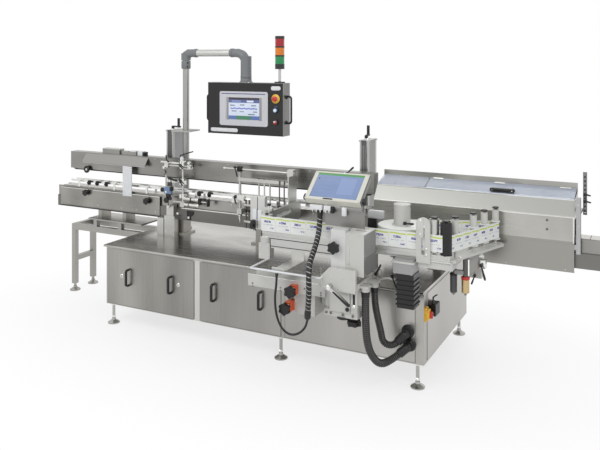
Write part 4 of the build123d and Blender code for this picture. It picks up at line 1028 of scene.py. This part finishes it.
def makeColumnTrim():
    trim = Piece("columnTrim", "frame")
    for x in columns["places"]:
        trim.box((x - 34, columns["front"] - 1, columns["top"] - 6),
            (x + 34, columns["back"] + 1, columns["top"] + 1.5), "lightGrey", 1.2)
        for y in (656, 726, 802):
            for side in (-24, 24):
                trim.screw((x + side, y, columns["top"] + 1.5), up, 4)
        trim.turned((x, 691, columns["top"] + 1), up, cap(17, 8, 13, 11, 8), "brightSteel", 28)
        for z in (1240, 1400):
            trim.screw((x + 33, 680, z), toRight, 4)
            trim.screw((x + 33, 780, z), toRight, 4)
    trim.done()


makeColumnTrim()
print("conveyor and hold-down trimmed")

# First station on the table: clamps, levers, sensor and grippers
guideStation = {"rodX": -1135, "rodY": 440}


def makeGuideStationTrim():
    trim = Piece("guideStationTrim", "frame")
    rod, y = guideStation["rodX"], guideStation["rodY"]
    # clamp blocks on the cross bar and the standing rod
    for x, z, wide, tall in ((-1290, 1163, 34, 36), (-1135, 1176, 40, 62), (-1064, 1163, 30, 32),
            (-1135, 1040, 44, 52),
                             (-1135, 925, 46, 34), (-1216, 1040, 30, 26), (-1268, 1045, 34, 30)):
        trim.box((x - wide / 2, y - 19, z - tall / 2), (x + wide / 2, y + 17, z + tall / 2), "brightSteel", 3)
        trim.box((x - 1, y - 20, z - tall / 2 + 2), (x + 1, y - 17, z + tall / 2 - 2), "blackPaint", 0.3)
        trim.screw((x + wide / 4 + 2, y - 19, z + tall / 4), toFront, 3.5)
    trim.bar([(rod, y, 846), (rod, y, 1145)], 9, "anodised")
    trim.bar([(-1340, y, 1186), (-1170, y, 1184)], 7, "brightSteel")
    trim.bar([(-1290, y, 1040), (-1150, y, 1040)], 6, "brightSteel")
    trim.bar([(-1352, y, 1186), (-1338, y, 1186)], 9, "whitePlastic")
    # the long lever on top and the shorter ones
    trim.turned((-1146, y, 1205), up, hub(13, 15, 4, 26, 11, 34), "whitePlastic", 24)
    trim.bar([(-1160, y - 4, 1216), (-1158, y - 4, 1250), (-1100, y - 6, 1268), (-1032, y - 8, 1288)],
        [5, 5.5, 5, 4.5], "blackPlastic")
    trim.bar([(-1292, y - 16, 1246), (-1288, y - 18, 1214), (-1262, y - 22, 1192)], [5, 6, 7], "blackPlastic")
    trim.bar([(-1160, y - 24, 1180), (-1140, y - 30, 1166), (-1112, y - 34, 1150)], [7, 6, 5], "blackPlastic")
    trim.bar([(-1156, y - 24, 1062), (-1138, y - 32, 1040), (-1112, y - 38, 1016)], [7, 7, 5], "blackPlastic")
    trim.bar([(-1112, y - 20, 1150), (-1070, y - 20, 1146), (-1034, y - 20, 1152), (-1020, y - 20, 1172),
        (-1020, y - 20, 1192)], 3, "brightSteel")
    trim.bar([(-1020, y - 20, 1166), (-1020, y - 20, 1196)], 5, "blackPlastic")
    for x, z, size in ((-1308, 1146, 14), (-1062, 1196, 14), (-1262, 832, 11), (-1170, 786, 12)):
        trim.turned((x, y - 14, z), toFront, [(size * 0.5, -10), (size * 0.9, 0), (size, 6), (size * 0.8, 14),
            (0, 16)], "brightSteel", 24)
    trim.bar([(-1304, y - 12, 1128), (-1296, y - 14, 1106), (-1306, y - 14, 1086)], [6, 5, 4], "blackPlastic")
    trim.bar([(-1304, y - 10, 1142), (-1304, y - 10, 1180)], 4, "brightSteel")
    trim.plate([(-1262, 1072), (-1216, 1060), (-1176, 1052), (-1176, 1040), (-1266, 1054)], y - 28, y - 18,
        "blackPaint")
    # camera-like sensor with its lens and bracket
    trim.box((-1308, y - 24, 934), (-1240, y + 8, 988), "sensorBlue", 4)
    trim.box((-1250, y - 26, 960), (-1232, y + 8, 992), "blackPlastic", 2)
    trim.turned((-1308, y - 8, 962), toLeft, [(15, 0), (15, 14), (18, 18), (18, 34), (14, 36), (13, 30), (0, 29)],
        "blackPlastic", 28)
    trim.turned((-1286, y - 24, 950), toFront, [(9, 0), (9, 3), (6, 4), (0, 3)], "brightSteel", 20)
    trim.box((-1296, y - 18, 890), (-1256, y + 4, 934), "blackPlastic", 3)
    trim.knob((-1280, y - 16, 884), toFront, 24, 22)
    trim.knob((-1240, y - 16, 902), toFront, 17, 18)
    trim.bar([(-1276, y - 6, 886), (-1276, y - 6, 820)], 4, "darkSteel")
    # cylinders and grippers to the right of the rod
    for x0, x1, z, radius in ((-1128, -1010, 905, 13), (-1010, -982, 905, 17), (-1128, -1000, 858, 15),
            (-1000, -978, 858, 19)):
        trim.turned((x0, y, z), toRight, [(radius - 2, 0), (radius, 2), (radius, x1 - x0 - 2),
            (radius - 2, x1 - x0)], "brightSteel", 24)
    trim.turned((-1060, y, 905), toRight, [(14.2, 0), (14.2, 10)], "blackPlastic", 24)
    trim.turned((-1078, y, 858), toRight, [(16.2, 0), (16.2, 9)], "darkSteel", 24)
    trim.box((-980, y - 14, 868), (-962, y + 14, 920), "blackPlastic", 2)
    trim.box((-962, y - 10, 904), (-916, y + 10, 922), "blackPlastic", 2)
    trim.box((-900, y - 14, 862), (-884, y + 14, 920), "blackPlastic", 2)
    trim.bar([(-964, y, 892), (-896, y, 892)], 5, "brightSteel")
    # foot and post screws
    for x, z in ((-1300, 625), (-1230, 625), (-1300, 730), (-1230, 730)):
        trim.screw((x, 430, z), toFront, 4.5)
    trim.done()


makeGuideStationTrim()

# Second station: joints, levers, the funnel tip and the standing rails
peelStation = {"rodX": -586, "y": 420}


def makePeelStationTrim():
    trim = Piece("peelStationTrim", "frame")
    y, x = peelStation["y"], peelStation["rodX"]
    trim.bar([(x, y, 846), (x, y, 1162)], 10.5, "anodised")
    trim.box((x - 18, y - 20, 1162), (x + 18, y + 16, 1204), "blackPlastic", 5)
    trim.lever((x - 20, y - 20, 1196), (-0.3, -1, 0.1), (x + 2, y - 44, 1128), 1.0)
    trim.turned((-732, y, 1180), toLeft, cap(9, 0, 7, 2, start=-14), "whitePlastic", 20)
    trim.box((x - 16, y - 24, 944), (x + 48, y + 14, 988), "brightSteel", 4)
    trim.turned((x - 20, y - 8, 968), toLeft, hub(12, 14, 3, 20, 10, 24), "blackPlastic", 24)
    trim.bar([(x - 44, y - 16, 972), (x - 30, y - 24, 944), (x - 16, y - 28, 914)], [7, 6, 4.5], "blackPlastic")
    trim.turned((x, y, 838), down, [(8, 0), (17, 4), (17, 24), (7, 44), (5, 64), (0, 65)], "brightSteel", 28)
    for railX in (-530, -500):
        trim.bar([(railX, y - 4, 738), (railX, y - 4, 948)], 7, "darkSteel")
        trim.turned((railX, y - 4, 948), up, [(9, -4), (9, 2), (0, 3)], "blackPlastic", 18)
        trim.turned((railX, y - 4, 860), up, [(9.5, 0), (9.5, 20)], "blackPlastic", 18)
    trim.box((-545, y - 14, 780), (-485, y + 8, 796), "anodised", 2)
    trim.box((-545, y - 14, 905), (-300, y + 10, 922), "anodised", 2)
    for rodX in (-418, -371, -323):
        trim.turned((rodX, y, 1118), up, cap(9, 6, 7, 8), "blackPlastic", 18)
        trim.turned((rodX, y, 928), up, cap(9, 10, 7, 13, 6), "blackPlastic", 18)
    trim.bar([(-371, y, 928), (-371, y, 1118)], 6, "brightSteel")
    trim.screws(-150, 433, (1100, 1040, 960, 880), toFront, 4)
    trim.bar([(-440, y - 12, 1128), (-420, y - 12, 1128), (-180, y - 12, 1120), (-170, y - 12, 1112)], 4.5,
        "darkSteel")
    trim.bar([(-236, y - 12, 1118), (-236, y - 12, 930)], 5, "darkSteel")
    trim.bar([(-196, y - 12, 1118), (-196, y - 12, 930)], 5, "darkSteel")
    trim.box((-250, y - 22, 914), (-182, y + 4, 934), "blackPlastic", 3)
    trim.done()


makePeelStationTrim()
print("stations trimmed")

# Pendant: plates left bare, bezel groove, screen and push buttons
pendant = {"face": 640, "bezelFace": 634, "plates": ((-1002, -743, 1436, 1466), (-438, -352, 1778, 1810)),
           "screen": (-826, -544, 1540, 1716), "buttonX": -394, "stopZ": 1712, "lampZ": 1622, "switchZ": 1528}


def makePendantTrim():
    trim = Piece("pendantTrim", "pendant")
    face = pendant["face"]
    for left, right, low, high in pendant["plates"]:
        trim.plate(roundedRect(left, right, low, high, (high - low) * 0.48, 7), face - 3, face + 1, "whitePlastic",
            "Y", 0.8)
    left, right, low, high = pendant["screen"]
    trim.box((left - 22, 635.2, low - 8), (left - 2, 639, high + 6), "middleGrey", 0.6)
    trim.box((right + 2, 635.2, low - 8), (right + 22, 639, high + 6), "middleGrey", 0.6)
    trim.box((left - 2, 635.0, low), (right + 2, 639, high), "pendantScreen", 0.4)
    trim.box((-895, 633.2, 1742), (-488, 635, 1749), "bezelLine", 0.4)
    trim.screws((-904, -474), pendant["bezelFace"], (1499, 1755), toFront, 2.6)
    x = pendant["buttonX"]
    trim.turned((x, 636, pendant["stopZ"]), toFront, cap(36, 3, 33, 5), "yellowPlastic", 40)
    trim.turned((x, 631, pendant["stopZ"]), toFront,
        [(13, 0), (13, 9), (20, 11), (22.5, 16), (21.5, 21), (15, 24.5), (0, 25.5)], "redPlastic", 36)
    trim.turned((x, 637, pendant["lampZ"]), toFront, [(20, 0), (20, 4), (18, 8), (15, 10), (15, 5), (0, 5)],
        "blueGlass", 36)
    trim.turned((x, 630, pendant["lampZ"]), toFront, [(14.4, 0), (14.4, 12), (12, 15), (0, 16.5)], "whiteGlass", 32)
    trim.turned((x, 637, pendant["switchZ"]), toFront, [(20, 0), (20, 4), (18, 8), (15, 9), (15, 5), (0, 5)],
        "blackPlastic", 36)
    trim.turned((x, 630, pendant["switchZ"]), toFront, [(14.4, 0), (14.4, 10), (12.5, 13), (0, 13.5)], "redPlastic",
        32)
    trim.box((x - 9, 612, pendant["switchZ"] + 1), (x + 9, 617, pendant["switchZ"] + 11), "whiteGlass", 1.5)
    trim.box((x - 14, 637.5, pendant["lampZ"] + 24), (x + 14, 640.5, pendant["lampZ"] + 30), "bezelLine", 0.5)
    # thin frame round the box front and the cable entry of the casting
    for low3, high3 in (((-1031, 639, 1832.5), (-329, 645, 1836)), ((-331.5, 639, 1420), (-328.5, 645, 1835))):
        trim.box(low3, high3, "middleGrey", 0.8)
    for z in (1530, 1720):
        trim.turned((-330, 695, z), toRight, [(12, -1), (12, 4), (9, 8), (6, 9)], "blackPlastic", 20)
        trim.turned((-1030, 695, z), toLeft, [(12, -1), (12, 4), (9, 8), (6, 9)], "blackPlastic", 20)
    for sideX in (-32, 32):
        for sideY in (-32, 32):
            trim.screw((-703 + sideX * 1.25, 700 + sideY, 1835), up, 4)
    trim.turned((-703, 700, 1834), up, [(54, 0), (54, 6), (46, 12), (44, 34), (48, 40), (38, 41.5)], "castGrey", 40)
    trim.done()
    # joints of the hanging arm: a fixed collar on the pole, elbows at both ends, a silver tube between
    collar = Piece("poleCollar", "frame")
    collar.turned((-1295, 700, 1942), up, [(28, 0), (36, 2), (39, 8), (39, 62), (36, 69), (28, 70)], "castGrey", 36)
    for z in (1960, 1992):
        collar.turned((-1262, 676, z), (0.8, -0.6, 0), cap(6, 4, 4, 5, start=-4), "blackPlastic", 16)
    collar.done()
    elbows = Piece("armElbows", "pendant_arm")
    elbows.bar([(-1295, 700, 2016), (-1295, 700, 2040), (-1288, 700, 2060), (-1268, 700, 2072), (-1225, 700, 2074),
        (-1188, 700, 2074)],
               [38, 38, 37, 36, 33, 33], "castGrey", 28)
    elbows.turned((-1190, 700, 2074), toRight, cap(36, 10, 33, 14, 27, start=-14), "castGrey", 32)
    elbows.turned((-835, 700, 2074), toLeft, cap(36, 10, 33, 14, 27, start=-14), "castGrey", 32)
    elbows.bar([(-836, 700, 2074), (-772, 700, 2072), (-736, 700, 2056), (-712, 700, 2026), (-703, 700, 1985),
        (-703, 700, 1905), (-703, 700, 1884)],
               [33, 36, 38, 39, 39, 40, 47], "castGrey", 28)
    elbows.bar([(-1180, 700, 2074), (-845, 700, 2074)], 29.5, "anodised", 28)
    elbows.done()
    lampTrim = Piece("stackLightTrim", "pendant")
    for z in (1984, 2054, 2124):
        for ring in range(1, 9):
            lampTrim.turned((-393, 700, z + ring * 6.4), up, [(36.4, -0.7), (37.1, 0), (36.4, 0.7), (35.8, 0)],
                            "lampStack", 40, ring=True)
    lampTrim.done()


makePendantTrim()
print("pendant trimmed")

# Outfeed cover: a bright strip on the fold as a painted highlight, right edge, bolts; a moulded handle on the lid
cover = {"left": 495, "right": 1812, "bolts": ((1653, 1010), (1653, 953))}


def makeCoverTrim():
    trim = Piece("coverTrim", "frame")
    trim.box((cover["left"], 516, 1131), (cover["right"], 522.5, 1138), "brightSteel", 1.2)
    trim.box((cover["right"] - 7, 446.5, 880), (cover["right"] + 1, 450, 1042), "brightSteel", 1.2)
    # bright strip along the fold: painted highlight
    trim.box((cover["left"], 446.8, 1035), (cover["right"], 449.4, 1041), "brightSteel", 0.8)
    trim.box((cover["left"], 450, 888), (cover["right"], 452.5, 892), "darkSteel", 0.6)
    for x, z in cover["bolts"]:
        trim.turned((x, 448.5, z), toFront, socketHead(7.5, 4, 6, 5.5, 3, 3), "darkSteel", 18)
    trim.screws((560, 840, 1120, 1400, 1760), 455, 712, toFront, 3.5)
    trim.screws(1837, 450, (830, 990, 1120), toFront, 4)
    for x, z, tipX in ((1861, 1163, 1896), (1861, 1120, 1898)):
        trim.turned((x, 596, z), toFront, hub(9, 10, 3, 14, 7, 17), "blackPlastic", 22)
        trim.bar([(x, 584, z), (x + 16, 580, z + 1), (tipX, 576, z - 3)], [4.5, 5.5, 4.5], "blackPlastic")
    # slot marks of the perforated bar
    for number in range(9):
        trim.box((1856, 595.2, 1052 + number * 27), (1866, 596.3, 1064 + number * 27), "blackPaint", 0.2)
    trim.done()
    handle = Piece("lidHandle", "lid")
    handle.plate(roundedRect(1280, 1440, 1149, 1172, 10, 6), 520, 550, "blackPlastic", "Y", 3.5)
    handle.screws((1296, 1424), 520, 1160, toFront, 4)
    handle.done()
    edges = Piece("lidEdges", "lid")
    edges.bar([(843, 521, 1139), (1806, 521, 1139)], 2.2, "whiteGlass", 8)
    for x in (900, 1320, 1740):
        edges.turned((x - 34, 650, 1186), toRight, [(6, 0), (6, 68)], "brightSteel", 18)
    edges.done()


makeCoverTrim()
print("outfeed cover trimmed")

# Height stage: plate screws, slotted side bar, foot bolts, black flange, lever grip
stage = {"plateFace": -377, "plateScrews": ((511, 723), (544, 728), (673, 733), (622, 726), (505, 660), (590, 660)),
         "footBolts": ((499, 498), (529, 498), (608, 498), (672, 498)), "footFace": -345}


def makeStageTrim():
    trim = Piece("stageTrim", "frame")
    for x, z in stage["plateScrews"]:
        trim.screw((x, stage["plateFace"], z), toFront, 4)
    for x, z in stage["footBolts"]:
        trim.turned((x, stage["footFace"], z), toFront, socketHead(8, 5, 6.5, 6.5, 4, 3.5), "darkSteel", 18)
    trim.box((658, -352, 514), (700, -330, 642), "lightGrey", 2)
    trim.plate(roundedRect(674, 688, 548, 632, 7, 6), -353, -351, "blackPaint", "Y", 0.3)
    trim.turned((681, -352, 560), toFront, cap(11, 7, 8, 10), "brightSteel", 24)
    trim.turned((600, -316, 481), down, cap(42, 10, 38, 14), "blackPlastic", 36)
    trim.turned((640, -348, 536), toFront, hub(10, 12, 3, 12, 9, 15), "blackPlastic", 24)
    trim.screw((590, -346, 700), toFront, 4)
    # bracket that carries the hoses, and its clamp levers
    trim.plate([(-345, 655), (-345, 690), (-180, 690), (-60, 668), (-60, 655)], 690, 704, "lightGrey", "X", 2)
    trim.screws(704, (-310, -250, -120), 672, toRight, 4)
    trim.box((702, -84, 664), (742, -60, 712), "anodised", 3)
    trim.lever((716, -99, 676), (0.25, 0, 1), (754, -99, 752), 1.0)
    trim.turned((704, -96, 664), toRight, cap(20, 30, 16, 34), "anodised", 28)
    trim.bar([(738, -96, 664), (800, -90, 676), (842, -86, 668)], [9, 8, 8], "anodised")
    trim.lever((826, -92, 674), (0, -0.4, 1), (862, -112, 618), 1.0)
    for x in (478, 699):
        trim.box((x - 1, -378.5, 650), (x + 1, -376.5, 770), "brightSteel", 0.3)
    trim.done()
    rails = Piece("railTrim", "frame")
    for x, z in ((-44, 583), (-44, 565), (160, 583), (160, 565), (440, 590), (440, 575), (330, 600)):
        rails.turned((x, -300, z), toFront, cap(5, 2.5, 3.5, 3.5), "darkSteel", 16)
    rails.box((-78, -301.5, 637), (470, -299, 641), "brightSteel", 0.6)
    rails.turned((-78, -246, 602), toLeft, cap(16, 5, 12, 7, start=-2), "darkSteel", 24)
    for x, z in ((262, 588), (225, 478)):
        rails.box((x - 15, -334.8, z + 10), (x + 15, -333.6, z + 20), "whitePlastic", 0.5)
        rails.turned((x, -334, z), toFront, cap(20, 3, 16, 6, 12), "blackPlastic", 28)
        rails.screw((x - 17, -334, z - 17), toFront, 2.2)
        rails.screw((x + 17, -334, z - 17), toFront, 2.2)
    rails.bar([(225, -268, 500), (225, -268, 570)], 9, "darkSteel")
    rails.done()
    grip = Piece("stageLeverGrip", "stage_lever")
    root, way = Vector((540, -405, 668)), Vector((0.82, 0, -0.57)).normalized()
    grip.bar([root + way * 36, root + way * 52, root + way * 130, root + way * 158, root + way * 164],
             [8.5, 9.5, 11.5, 10.5, 5], "blackPlastic", 20)
    grip.turned((540, -413, 668), toFront, [(15, 0), (15, 3), (11, 6), (0, 7)], "brightSteel", 28)
    grip.done()


makeStageTrim()
print("height stage trimmed")

# Operator panel, built in its own tilted plane: x across, y up the slope, z out of the screen
operatorPanel = {"half": (186, 114), "screen": (-154, 150, -82, 98)}


def makeOperatorPanel():
    panel = Piece("operatorPanel", "operator_panel")
    x, y, z = panelPlane["middle"]
    cos, sin = panelPlane["cos"], panelPlane["sin"]
    panel.within = Matrix(((1, 0, 0, x), (0, cos, -sin, y), (0, sin, cos, z), (0, 0, 0, 1)))
    a, b = operatorPanel["half"]
    left, right, low, high = operatorPanel["screen"]
    # raised rim in four bars, screen and its inner edge
    for low3, high3 in (((-a, b - 12, 18), (a, b, 23.5)), ((-a, -b, 18), (a, -b + 20, 23.5)),
                        ((-a, -b + 20, 18), (left - 6, b - 12, 23.5)),
                        ((right + 6, -b + 20, 18), (a, b - 12, 23.5))):
        panel.box(low3, high3, "panelHousing", 1.8)
    panel.box((left - 6, low - 12, 19.5), (right + 6, high + 4, 21.4), "panelScreen", 0.6)
    panel.turned((14, b - 5, 23.4), up, [(7, 0), (7, 1), (5, 2), (0, 2.2)], "whiteGlass", 20)
    panel.plate(roundedRect(-62, 4, -b + 5, -b + 15, 3, 4), 23.2, 24.6, "blackPlastic", "Z", 0.4)
    for x, y in ((-a + 8, b - 6), (a - 8, b - 6), (-a + 8, -b + 8), (a - 8, -b + 8)):
        panel.screw((x, y, 23.2), up, 2.4, "middleGrey")
    # back box, side plate and knobs
    panel.box((-a + 14, -b + 14, -34), (a - 14, b - 14, -19), "middleGrey", 3)
    panel.knob((a, -b + 26, -2), toRight, 19, 22)
    panel.knob((-a, -b + 26, -2), toLeft, 17, 18)
    panel.box((a - 2, -b + 14, -14), (a + 2.5, b - 16, 12), "middleGrey", 1.2)
    panel.done()
    panel = Piece("panelLever", "operator_panel")
    panel.lever((519, -84, 1280), up, (566, -84, 1338), 1.0)
    panel.done()
    # plugs on the yoke bar, clear of the panel when it tilts
    plugs = Piece("panelPlugs", "label_head")
    plugs.box((345, -262, 1086), (428, -240, 1116), "whitePlastic", 3)
    plugs.box((440, -262, 1088), (486, -240, 1116), "whitePlastic", 3)
    for x in (362, 388, 414, 452, 474):
        plugs.turned((x, -252, 1090), down, [(7, 0), (7, 6), (4.5, 12), (3, 20), (0, 20)], "brightSteel", 16)
    plugs.box((486, -260, 1072), (508, -240, 1114), "blackPlastic", 4)
    plugs.box((560, -262, 1062), (590, -240, 1116), "whitePlastic", 6)
    plugs.done()


makeOperatorPanel()

# Control box and column
controlBox = {"top": 985, "right": 742, "front": -345}


def makeControlBoxTrim():
    trim = Piece("controlBoxTrim", "label_head")
    top = controlBox["top"]
    trim.box((636, -234, top - 1), (704, -225, top + 1.2), "blackPaint", 0.4)
    trim.box((652, -262, top - 1), (726, -253, top + 1.2), "blackPaint", 0.4)
    trim.box((620, -346, 980), (743, -155, 986), "lightGrey", 1.6)
    trim.box((741.5, -345, 848), (743.4, -156, 854), "middleGrey", 0.6)
    trim.screws(controlBox["right"], (-330, -172), (748, 838, 866, 968), toRight, 3)
    trim.box((626, -347.5, 800), (650, -344, 912), "lightGrey", 1.0)
    trim.screws(638, -347.5, (812, 900), toFront, 3)
    trim.screws(606, controlBox["front"], (770, 820, 870, 955), toFront, 3.4)
    # yoke of the operator panel: ear screws and the clamp of the bar
    for x in (312, 684):
        trim.turned((x, -227, 1162), (1 if x > 500 else -1, 0, 0), hub(11, 13, 6, 16, 9, 19), "blackPlastic", 24)
    trim.screws((440, 520, 610), -227, 1107, up, 4)
    trim.done()


makeControlBoxTrim()
print("operator panel and control box trimmed")

# Label head: peel end, side plate, unwinder, bracket and clamps
labelHead = {"beamFront": -150, "plateTop": 843, "hub": (850, 20)}


def makeLabelHeadTrim():
    trim = Piece("labelHeadTrim", "label_head")
    # light housing left of the peel edge, with two white blocks and a black clip on its face
    trim.box((-206, -60, 866), (-92, -22, 1092), "anodised", 3)
    trim.box((-104, -58, 986), (-68, -30, 1012), "anodised", 2)
    trim.box((-151, -61.2, 872), (-147, -59, 1088), "blackPaint", 0.4)
    trim.box((-181, -70, 932), (-152, -59, 1004), "whitePlastic", 3)
    trim.box((-144, -70, 928), (-112, -59, 1000), "whitePlastic", 3)
    trim.box((-198, -76, 866), (-166, -59, 926), "blackPlastic", 3)
    for z in (1020, 1076):
        trim.screw((-190, -60, z), toFront, 3.5)
        trim.screw((-112, -60, z), toFront, 3.5)
    trim.turned((-182, -66, 866), down, cap(7, 8, 5, 12, start=-8), "brightSteel", 18)
    trim.lever((-176, -74, 888), (0, -1, 0.2), (-140, -98, 868), 0.8)
    trim.bar([(-60, -60, 1040), (-60, -60, 840)], 7, "brightSteel")
    trim.turned((-60, -60, 1040), up, cap(11, 6, 8, 9, start=-6), "blackPlastic", 22)
    trim.box((-92, -72, 1000), (-30, -50, 1024), "anodised", 3)
    for z in (986, 900):
        trim.box((-90, -66, z - 6), (-62, 60, z + 6), "anodised", 2)
    trim.turned((-46, -112.7, 987), up, cap(12, 6, 9, 10), "blackPlastic", 24)
    trim.turned((-46, -112.7, 845), up, cap(48, 3, 44, 4.5, 30), "brightSteel", 40)
    trim.screws((-74, -20), -148, (720, 780), toFront, 4)
    # beam screws, its end cap and the bright top edge
    trim.screws((60, 260, 460, 820), labelHead["beamFront"], 854, toFront, 3.6)
    trim.box((-68, -152, 843), (-62, -108, 885), "blackPaint", 1.5)
    trim.box((0, -144.5, 788), (500, -141.8, 792), "blackPaint", 0.4)
    trim.box((0, -144.5, 838), (500, -141.8, 842), "blackPaint", 0.4)
    trim.screws((24, 476), -142, 812, toFront, 4)
    # slotted bracket at the feed rollers
    trim.plate(roundedRect(1006, 1046, 960, 1078, 19, 6), -168, -165, "anodised", "Y", 0.8)
    for z in (1064, 984, 900, 866):
        trim.turned((1026 if z > 950 else 1062, -168 if z > 950 else -166, z), toFront,
            socketHead(7, 4, 5, 6, 2.5, 3), "brightSteel", 20)
    trim.screws((1090, 1118, 1178, 1192), -154, 846, toFront, 4)
    trim.box((1080, -162, 828), (1212, -153, 833), "brightSteel", 0.8)
    # black rubber face in front of the web at the drive roller
    shell = [(1169 + radius * math.cos(math.radians(angle)), -120.7 + radius * math.sin(math.radians(angle)))
             for radius, angles in ((34.2, range(-158, 11, 8)), (32.0, range(10, -159, -8))) for angle in angles]
    trim.plate(shell, 866, 1060, "blackPlastic", "Z", 0.3)
    # one bolt on the arm plate
    trim.turned((1236, -52, labelHead["plateTop"]), up, cap(10, 5, 7, 7), "brightSteel", 20)
    # clamp below the arm plate with two levers
    trim.box((1300, 118, 744), (1344, 160, 796), "brightSteel", 4)
    trim.lever((1322, 118, 770), toFront, (1352, 76, 690), 1.1)
    trim.lever((1278, 138, 700), (0, -1, -0.2), (1262, 104, 646), 0.9)
    trim.turned((1300, 140, 812), toRight, cap(12, 28, 9, 31), "anodised", 24)
    # motor: head screws and a plate with its screws
    trim.screws((880, 982), (-196, -84), 745, down, 4.5)
    trim.box((862, -208, 806), (1002, -72, 818), "anodised", 2)
    # air set: caps, gauge stub and collar
    trim.turned((1178, 10, 726), up, cap(23, 2, 18, 6, 12, start=-8), "blackPlastic", 28)
    trim.turned((1178, 10, 618), down, [(19, 0), (14, 8), (6, 10), (6, 18), (0, 18)], "darkSteel", 28)
    trim.turned((1250, 10, 703), up, hub(25, 26, 3, 12, 23, 15, 16), "redPlastic", 32)
    trim.turned((1250, 10, 623), down, [(18, 0), (12, 7), (7, 9), (7, 17), (0, 17)], "darkSteel", 28)
    trim.box((1186, -6, 728), (1242, 26, 752), "middleGrey", 3)
    # pale block and black square at the back of the roll
    trim.box((646, 104, 842), (690, 136, 990), "middleGrey", 3)
    trim.box((590, 102, 985), (690, 138, 1036), "whitePlastic", 4)
    trim.box((590, 92, 912), (646, 112, 985), "blackPlastic", 2)
    trim.done()

    covers = Piece("rollerCaps", "label_head")
    tall = ((1268, 130.6), (1308.3, 243.7), (1351.9, 366.1))
    covers.knob((1203.6, -50.2, 1071), up, 25, 14)
    for x, y in tall:
        covers.turned((x, y, 1070), up, hub(17, 20, 3, 9, 14, 12), "blackPlastic", 28)
        covers.turned((x, y, 986), up, [(21, 0), (29, 1), (29, 5), (21, 7)], "whitePlastic", 32)
        covers.turned((x, y, 876), up, [(21, 0), (29, 1), (29, 5), (21, 7)], "whitePlastic", 32)
    covers.done()
    for name, body, x, y, z in (("pinchCap", "pinch_roller", 1099, -122.7, 1071),
            ("driveCap", "drive_roller", 1169, -120.7, 1056)):
        rider = Piece(name, body)
        rider.knob((x, y, z), up, 27, 15)
        rider.turned((x, y, z - 3), up, cap(20, 4, 16, 5), "brightSteel", 28)
        rider.done()
    reel = Piece("reelTrim", "reel")
    hubX, hubY = labelHead["hub"]
    reel.lever((884, -26, 988), up, (948, -52, 1012), 1.1)
    reel.turned((hubX, hubY, 986.5), up, hub(58, 62, 1, 5, 58, 6.5, 52.5), "lightGrey", 48)
    for angle in (30, 150, 270):
        a = math.radians(angle)
        reel.screw((hubX + 38 * math.cos(a), hubY + 38 * math.sin(a), 1114), up, 4)
    reel.turned((hubX, hubY, 1108), up, [(52.4, 0), (53.2, 1), (53.2, 6.5), (51.5, 7.5), (48, 7.5), (48, 6)],
        "lightGrey", 48)
    reel.done()


makeLabelHeadTrim()
print("label head trimmed")
